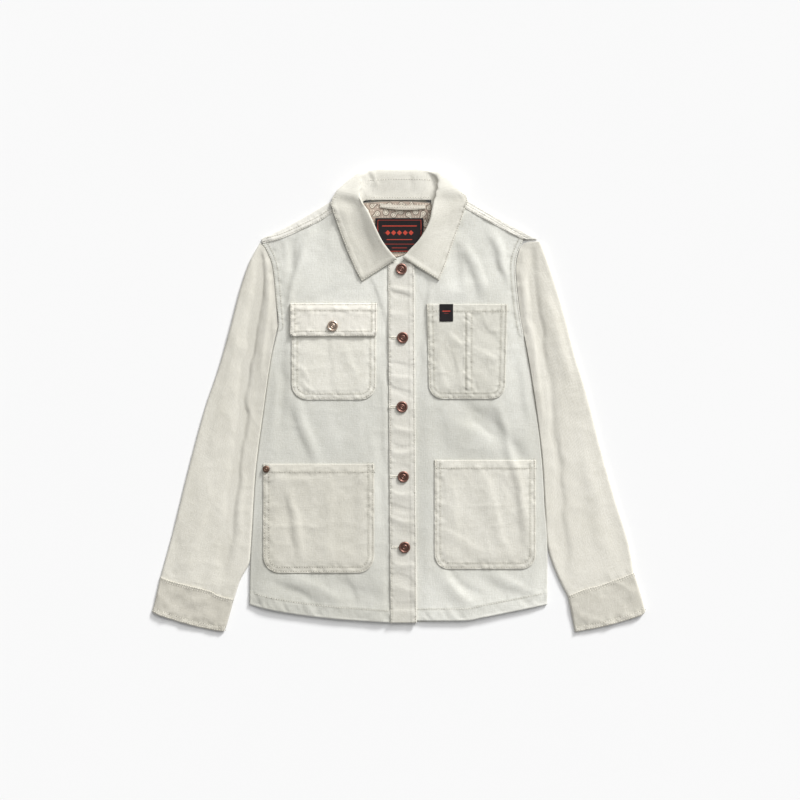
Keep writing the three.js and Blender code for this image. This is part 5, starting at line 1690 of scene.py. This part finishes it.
class JACKET_OT_collar(JacketStep, bpy.types.Operator):
    """Make the collar: one sheet that rolls from leaf to leaf round the neck"""

    bl_idname = "jacket.collar"
    bl_label = "Collar"

    def execute(self, context):
        columns = np.concatenate([[0, 0.006, 0.014], np.linspace(0.025, 0.985, 58), [0.993, 1]])
        sections = [leaf_section(row, leaf, "right", columns) for row, leaf in enumerate(LEAVES["right"])]
        sections += [back_section(x, columns) for x in BACK_ROLL_X]
        left = [leaf_section(row, leaf, "left", columns) for row, leaf in enumerate(LEAVES["left"])]
        sections = np.array(sections + left[::-1])
        outer = np.stack([track(sections[:, k]) for k in range(len(columns))], 1)
        outer = self.seated(self.smoothed(outer))
        x, y = outer[..., 0], outer[..., 1]
        from_edge = np.linalg.norm(outer - outer[:, :1], axis=2)
        ends = np.minimum(np.linalg.norm(outer - outer[:1], axis=2), np.linalg.norm(outer - outer[-1:], axis=2))
        rim = np.minimum(from_edge, ends)
        run = np.repeat(lengths(outer[:, 0, :2])[:, None], outer.shape[1], 1)
        normal = self.normals(outer)
        on_top = ease(normal[..., 2], 0.1, 0.6)
        relief = on_top * (creased(COLLAR_CREASES, x, y) + 0.55 * crumpled(x, y, 150))
        relief = relief + stitched(rim, run, sewing("first_row") + 0.4, 152) + turned(rim, 8) * 0.7
        relief = relief + rounded(rim, 2.2)
        outer = outer + normal * relief[..., None] * np.where(normal[..., 2:] < -0.3, 0, 1)
        inner = outer - normal * cloth("collar")
        outer[..., 2] = np.maximum(outer[..., 2], 0.05)
        inner[..., 2] = np.maximum(inner[..., 2], 0.3)
        grain = np.dstack([run, from_edge])
        # Wear on the edges and painted shade in the stitch valley; painted light on the stand, and painted shade on
        # the right leaf, which faces away from the light.
        wear_and_shade = edge_wear_and_row_shade(rim, [sewing("first_row") + 0.4])
        wear_and_shade = wear_and_shade + STAND_PAINTED_LIGHT * ease(y, 300, 335) - LEAF_PAINTED_SHADE * ease(-x, -5, 10) * (1 - ease(y, 240, 300))
        piece = shell("collar", outer, inner, grain, wear_and_shade)
        dress(piece, "collar_canvas")
        settle(piece, ["collar_back", "collar_leaf_right", "collar_leaf_left"])
        self.edge_rows(outer)
        return {"FINISHED"}

    def smoothed(self, grid):
        """Softens the sheet between its sections, keeping the edges."""
        for _ in range(6):
            middle = grid[1:-1, 1:-1]
            around = (grid[:-2, 1:-1] + grid[2:, 1:-1] + grid[1:-1, :-2] + grid[1:-1, 2:]) / 4
            grid[1:-1, 1:-1] = mix(middle, around, 0.5)
        for _ in range(10):
            grid[1:-1, :, 2] = mix(grid[1:-1, :, 2], (grid[:-2, :, 2] + grid[2:, :, 2]) / 2, 0.6)
        return grid

    def seated(self, grid):
        """Lifts the leaves clear of the cloth under them."""
        clearance = (cloth("collar") + cloth("gap") + 0.15) * MM
        names = ["front_right_cloth", "front_left_cloth", "band", "yoke_right_cloth", "yoke_left_cloth"]
        down, high = Vector((0, 0, -1)), 0.1
        floor = np.zeros(grid.shape[:2])
        for j, k in np.argwhere((grid[..., 2] > 3.2) & (grid[..., 1] < 322)):
            start = Vector((grid[j, k, 0] * MM, grid[j, k, 1] * MM, high))
            hits = [pieces[name].tree.ray_cast(start, down)[0] for name in names]
            tops = [hit.z for hit in hits if hit]
            if tops:
                floor[j, k] = (max(tops) + clearance) / MM
        lift = np.maximum(floor - grid[..., 2], 0)
        for _ in range(5):
            lift[1:-1] = np.maximum.reduce([lift[:-2], lift[1:-1], lift[2:]])
            lift[:, 1:-1] = np.maximum.reduce([lift[:, :-2], lift[:, 1:-1], lift[:, 2:]])
        for _ in range(24):
            lift[1:-1] = mix(lift[1:-1], (lift[:-2] + lift[2:]) / 2, 0.7)
            lift[:, 1:-1] = mix(lift[:, 1:-1], (lift[:, :-2] + lift[:, 2:]) / 2, 0.7)
        grid[..., 2] += lift * ease(grid[..., 2], 2, 4)
        return grid

    def normals(self, grid):
        """Unit normals of a grid, pointing away from the wearer's neck cloth."""
        across, along = np.gradient(grid, axis=1), np.gradient(grid, axis=0)
        normal = np.cross(along, across)
        normal /= np.maximum(np.linalg.norm(normal, axis=2), 1e-9)[..., None]
        middle = normal[grid.shape[0] // 8, grid.shape[1] // 4]
        return normal if middle[2] > 0 else -normal

    def edge_rows(self, outer):
        """Topstitching along the leaves' free edges and ends, and across the stand."""
        inset = sewing("first_row") + 0.4
        for half, rows in (("right", range(0, 60)), ("left", range(outer.shape[0] - 1, outer.shape[0] - 61, -1))):
            line = []
            for j in rows:
                run = lengths(outer[j])
                spot = at(outer[j], [inset / run[-1]])[0]
                if spot[2] < 6:
                    break
                line.append(spot[:2])
            sew("collar", line[1:], ["collar"])
            end = outer[0] if half == "right" else outer[-1]
            beyond = outer[1:4] if half == "right" else outer[-4:-1]
            shift = (beyond.mean(0) - end)
            shift /= np.maximum(np.linalg.norm(shift, axis=1), 1e-9)[:, None]
            row = (end + shift * inset)[:, :2]
            sew("collar", row[2:36], ["collar"])
        sew("collar", [(-46, 339), (0, 341), (46, 340)], ["collar"])
        sew("collar", [(-44, 312.5), (0, 312.5), (44, 312.5)], ["collar"])


# Buttons and rivet

BUTTON_PROFILE = [(0, 0.05), (0.62, 0.05), (0.66, 0.30), (0.80, 0.34), (0.97, 0.52), (1.0, 0.68), (0.97, 0.86),
        (0.90, 0.97), (0.82, 1.0), (0.74, 0.95), (0.69, 0.82), (0.66, 0.66), (0.60, 0.60), (0.50, 0.60),
        (0.44, 0.64), (0.40, 0.74), (0.34, 0.78), (0.26, 0.74), (0.22, 0.62), (0.16, 0.60), (0.08, 0.66), (0, 0.68)]
RIVET_PROFILE = [(0, 0.02), (0.96, 0.02), (1.0, 0.2), (0.97, 0.46), (0.86, 0.62), (0.66, 0.74), (0.52, 0.78),
        (0.46, 0.72), (0.42, 0.62), (0.36, 0.66), (0.28, 0.88), (0.14, 0.98), (0, 1.0)]
BUTTON_HEIGHT = 3.2
RIVET_HEIGHT = 1.8
TURN_STEPS = 40


def turned_mesh(name, profile, radius, height):
    """A turned solid round the upright axis, with its hollows marked."""
    smooth = spline(np.array(profile) * (radius, height), 3)
    r, z = np.maximum(smooth[1:-1, 0], 0), smooth[1:-1, 1]
    angle = 2 * math.pi * np.arange(TURN_STEPS) / TURN_STEPS
    rings = np.dstack([np.outer(r, np.cos(angle)), np.outer(r, np.sin(angle)), np.repeat(z[:, None], TURN_STEPS, 1)])
    points = np.vstack([rings.reshape(-1, 3), (0, 0, smooth[0, 1]), (0, 0, smooth[-1, 1])]) * MM
    deep = np.clip((height - z) / height * np.where(r < 0.8 * radius, 1.8, 0.7), 0, 1)
    hollow = np.append(np.repeat(deep, TURN_STEPS), (0.3, 0.3))
    faces = grid_faces(len(r), TURN_STEPS, 0, True, False).tolist()
    foot, crown, last = len(points) - 2, len(points) - 1, (len(r) - 1) * TURN_STEPS
    turn = [(step, (step + 1) % TURN_STEPS) for step in range(TURN_STEPS)]
    faces += [(after, step, foot) for step, after in turn]
    faces += [(last + step, last + after, crown) for step, after in turn]
    mesh = bpy.data.meshes.new(name)
    mesh.from_pydata(points.tolist(), [], faces)
    mesh.update()
    mesh.polygons.foreach_set("use_smooth", np.ones(len(faces), bool))
    mesh.attributes.new("hollow", "FLOAT", "POINT").data.foreach_set("value", hollow)
    return mesh


def seat_height(button, names):
    """The highest point of some pieces under a round one."""
    top = 0
    for angle in np.linspace(0, 2 * math.pi, 12, endpoint=False):
        for share in (0, 0.5, 0.85):
            x = button.x + share * button.radius * math.cos(angle)
            y = button.y + share * button.radius * math.sin(angle)
            for name in names:
                hit = pieces[name].tree.ray_cast(Vector((x * MM, y * MM, 0.1)), Vector((0, 0, -1)))[0]
                if hit:
                    top = max(top, hit.z)
    return top


def place_tree():
    """Copies of one object on the points of a mesh."""
    tree, given, out = geometry_tree("Buttons", Button="Object", Tilt="Float", Seed="Int", Material="Material")
    one = put(tree, "GeometryNodeObjectInfo", {"Object": given.outputs["Button"]})
    low = maths(tree, "MULTIPLY", given.outputs["Tilt"], -1.0)
    least = put(tree, "ShaderNodeCombineXYZ", {0: low, 1: low, 2: -3.0})
    most = put(tree, "ShaderNodeCombineXYZ", {0: given.outputs["Tilt"], 1: given.outputs["Tilt"], 2: 3.0})
    angle = put(tree, "FunctionNodeRandomValue", data_type="FLOAT_VECTOR")
    join(tree, least.outputs[0], angle.inputs[0])
    join(tree, most.outputs[0], angle.inputs[1])
    join(tree, given.outputs["Seed"], angle.inputs["Seed"])
    dyed = copies(tree, given.outputs["Geometry"], one.outputs["Geometry"], angle.outputs[0],
        given.outputs["Material"])
    join(tree, dyed.outputs[0], out.inputs[0])
    return tree


def set_buttons(name, buttons, profile, height, material, carriers, nodes):
    """Seats copies of one turned piece on the cloth."""
    model = add_object("model", turned_mesh("model", profile, buttons[0].radius, height))
    spots = [(b.x * MM, b.y * MM, seat_height(b, carriers) + 0.1 * MM) for b in buttons]
    mesh = bpy.data.meshes.new("spots")
    mesh.from_pydata(spots, [], [])
    source = add_object("spots", mesh)
    tree = bpy.data.node_groups.get("Buttons") or place_tree()
    piece = run_tree(name, source, tree, {"Button": model, "Tilt": 0.025, "Seed": 3,
            "Material": bpy.data.materials["jacket_" + material]})
    bpy.data.objects.remove(model)
    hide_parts(*nodes)
    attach(piece, "root")
    return piece


class JACKET_OT_buttons(JacketStep, bpy.types.Operator):
    """Set the front buttons, the flap's button and the rivet"""

    bl_idname = "jacket.buttons"
    bl_label = "Buttons and rivet"

    def execute(self, context):
        set_buttons("front_buttons", BUTTONS, BUTTON_PROFILE, BUTTON_HEIGHT, "copper", ["band"],
                [button.name for button in BUTTONS])
        set_buttons("flap_button_metal", [FLAP_BUTTON], BUTTON_PROFILE, BUTTON_HEIGHT, "rose_metal", ["flap"],
                ["flap_button"])
        set_buttons("rivet", [RIVET], RIVET_PROFILE, RIVET_HEIGHT, "rivet_metal", ["hip_pocket_right_cloth"],
                ["pocket_rivet"])
        return {"FINISHED"}


class JACKET_OT_stitches(JacketStep, bpy.types.Operator):
    """Sew every row of stitches, and the buttonholes"""

    bl_idname = "jacket.stitches"
    bl_label = "Stitches"

    def execute(self, context):
        tree = stitch_tree()
        thread = bpy.data.materials["jacket_thread"]
        for group, lines in thread_lines.items():
            close = group == "buttonholes"
            values = {
                "Pitch": (0.8 if close else sewing("pitch")) * MM,
                "Length": (2.4 if close else sewing("length")) * MM,
                "Width": sewing("thread") * MM,
                "Turn": math.pi / 2 if close else 0.0,
                "Hole": (0.3 if close else 1.35) * MM,
                "Material": thread,
                "Hole material": bpy.data.materials["jacket_hole"],
            }
            piece = run_tree(group + "_stitches", lines_object(lines), tree, values)
            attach(piece, "root")
        return {"FINISHED"}


class JACKET_OT_stage(JacketStep, bpy.types.Operator):
    """Set up the floor, the lights and the camera"""

    bl_idname = "jacket.stage"
    bl_label = "Floor, lights and camera"

    def execute(self, context):
        studio = context.scene.jacket_studio
        self.floor(studio)
        self.light("key", studio.key, 40, (0.8, 1.4, 1.9))
        self.light("rake", studio.rake, 12, (1.1, 1.7, 0.95))
        world = bpy.data.worlds.new("sky")
        world.use_nodes = True
        sky = world.node_tree.nodes["Background"]
        sky.inputs["Color"].default_value = (1, 1, 1, 1)
        sky.inputs["Strength"].default_value = studio.sky
        context.scene.world = world
        context.scene.view_settings.view_transform = "Standard"
        self.camera(context, studio)
        return {"FINISHED"}

    def floor(self, studio):
        half = 4
        mesh = bpy.data.meshes.new("floor")
        mesh.from_pydata([(-half, -half, 0), (half, -half, 0), (half, half, 0), (-half, half, 0)], [],
                [(0, 1, 2, 3)])
        thing = add_object("floor", mesh)
        material, tree, surface = new_material("floor")
        place = put(tree, "ShaderNodeTexCoord")
        noise = put(tree, "ShaderNodeTexNoise", {"Vector": place.outputs["Object"], "Scale": 3.0})
        tint = (*studio.floor, 1)
        paler = tuple(min(1, 1.01 * c) for c in studio.floor) + (1,)
        join(tree, blended(tree, noise.outputs["Fac"], tint, paler), surface.inputs["Base Color"])
        surface.inputs["Roughness"].default_value = 0.9
        surface.inputs["Specular IOR Level"].default_value = 0.1
        mesh.materials.append(material)
        thing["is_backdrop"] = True

    def light(self, name, power, softness, place):
        lamp = bpy.data.lights.new(name, "SUN")
        lamp.energy = power
        lamp.angle = math.radians(softness)
        thing = add_object(name, lamp)
        thing.location = place
        thing.rotation_euler = Vector(place).to_track_quat("Z", "Y").to_euler()

    def camera(self, context, studio):
        """Looks straight down on the middle of the photograph's frame."""
        lens = bpy.data.cameras.new("camera")
        lens.lens = studio.lens
        lens.clip_end = 20
        distance = studio.width * studio.lens / lens.sensor_width
        thing = add_object("camera", lens)
        thing.location = (FRAME_MIDDLE[0] * MM, FRAME_MIDDLE[1] * MM, distance)
        context.scene.camera = thing


FRAME_MIDDLE = (1.9, -0.3)
# The operators run in the order of their classes
OPERATORS = JacketStep.__subclasses__()


class JACKET_PT_panel(bpy.types.Panel):
    """The jacket's steps and sizes"""

    bl_idname = "JACKET_PT_panel"
    bl_label = "Chore jacket"
    bl_space_type = "VIEW_3D"
    bl_region_type = "UI"
    bl_category = "Jacket"

    def draw(self, context):
        for step in OPERATORS:
            self.layout.operator(step.bl_idname)
        for group in ("jacket_cloth", "jacket_sewing", "jacket_colours", "jacket_studio"):
            settings = getattr(context.scene, group)
            column = self.layout.box().column()
            for name in settings.__annotations__:
                column.prop(settings, name)


GROUPS = {"jacket_cloth": JacketCloth, "jacket_sewing": JacketSewing, "jacket_colours": JacketColours,
        "jacket_studio": JacketStudio}


def register():
    for kind in (*GROUPS.values(), *OPERATORS, JACKET_PT_panel):
        bpy.utils.register_class(kind)
    for name, kind in GROUPS.items():
        setattr(bpy.types.Scene, name, PointerProperty(type=kind))


def unregister():
    for name in GROUPS:
        delattr(bpy.types.Scene, name)
    for kind in (JACKET_PT_panel, *reversed(OPERATORS), *reversed(GROUPS.values())):
        bpy.utils.unregister_class(kind)


def main():
    register()
    for step in OPERATORS:
        getattr(bpy.ops.jacket, step.bl_idname.split(".")[1])()
    visual = [list(corner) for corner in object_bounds()]


if __name__ == "__main__":
    main()
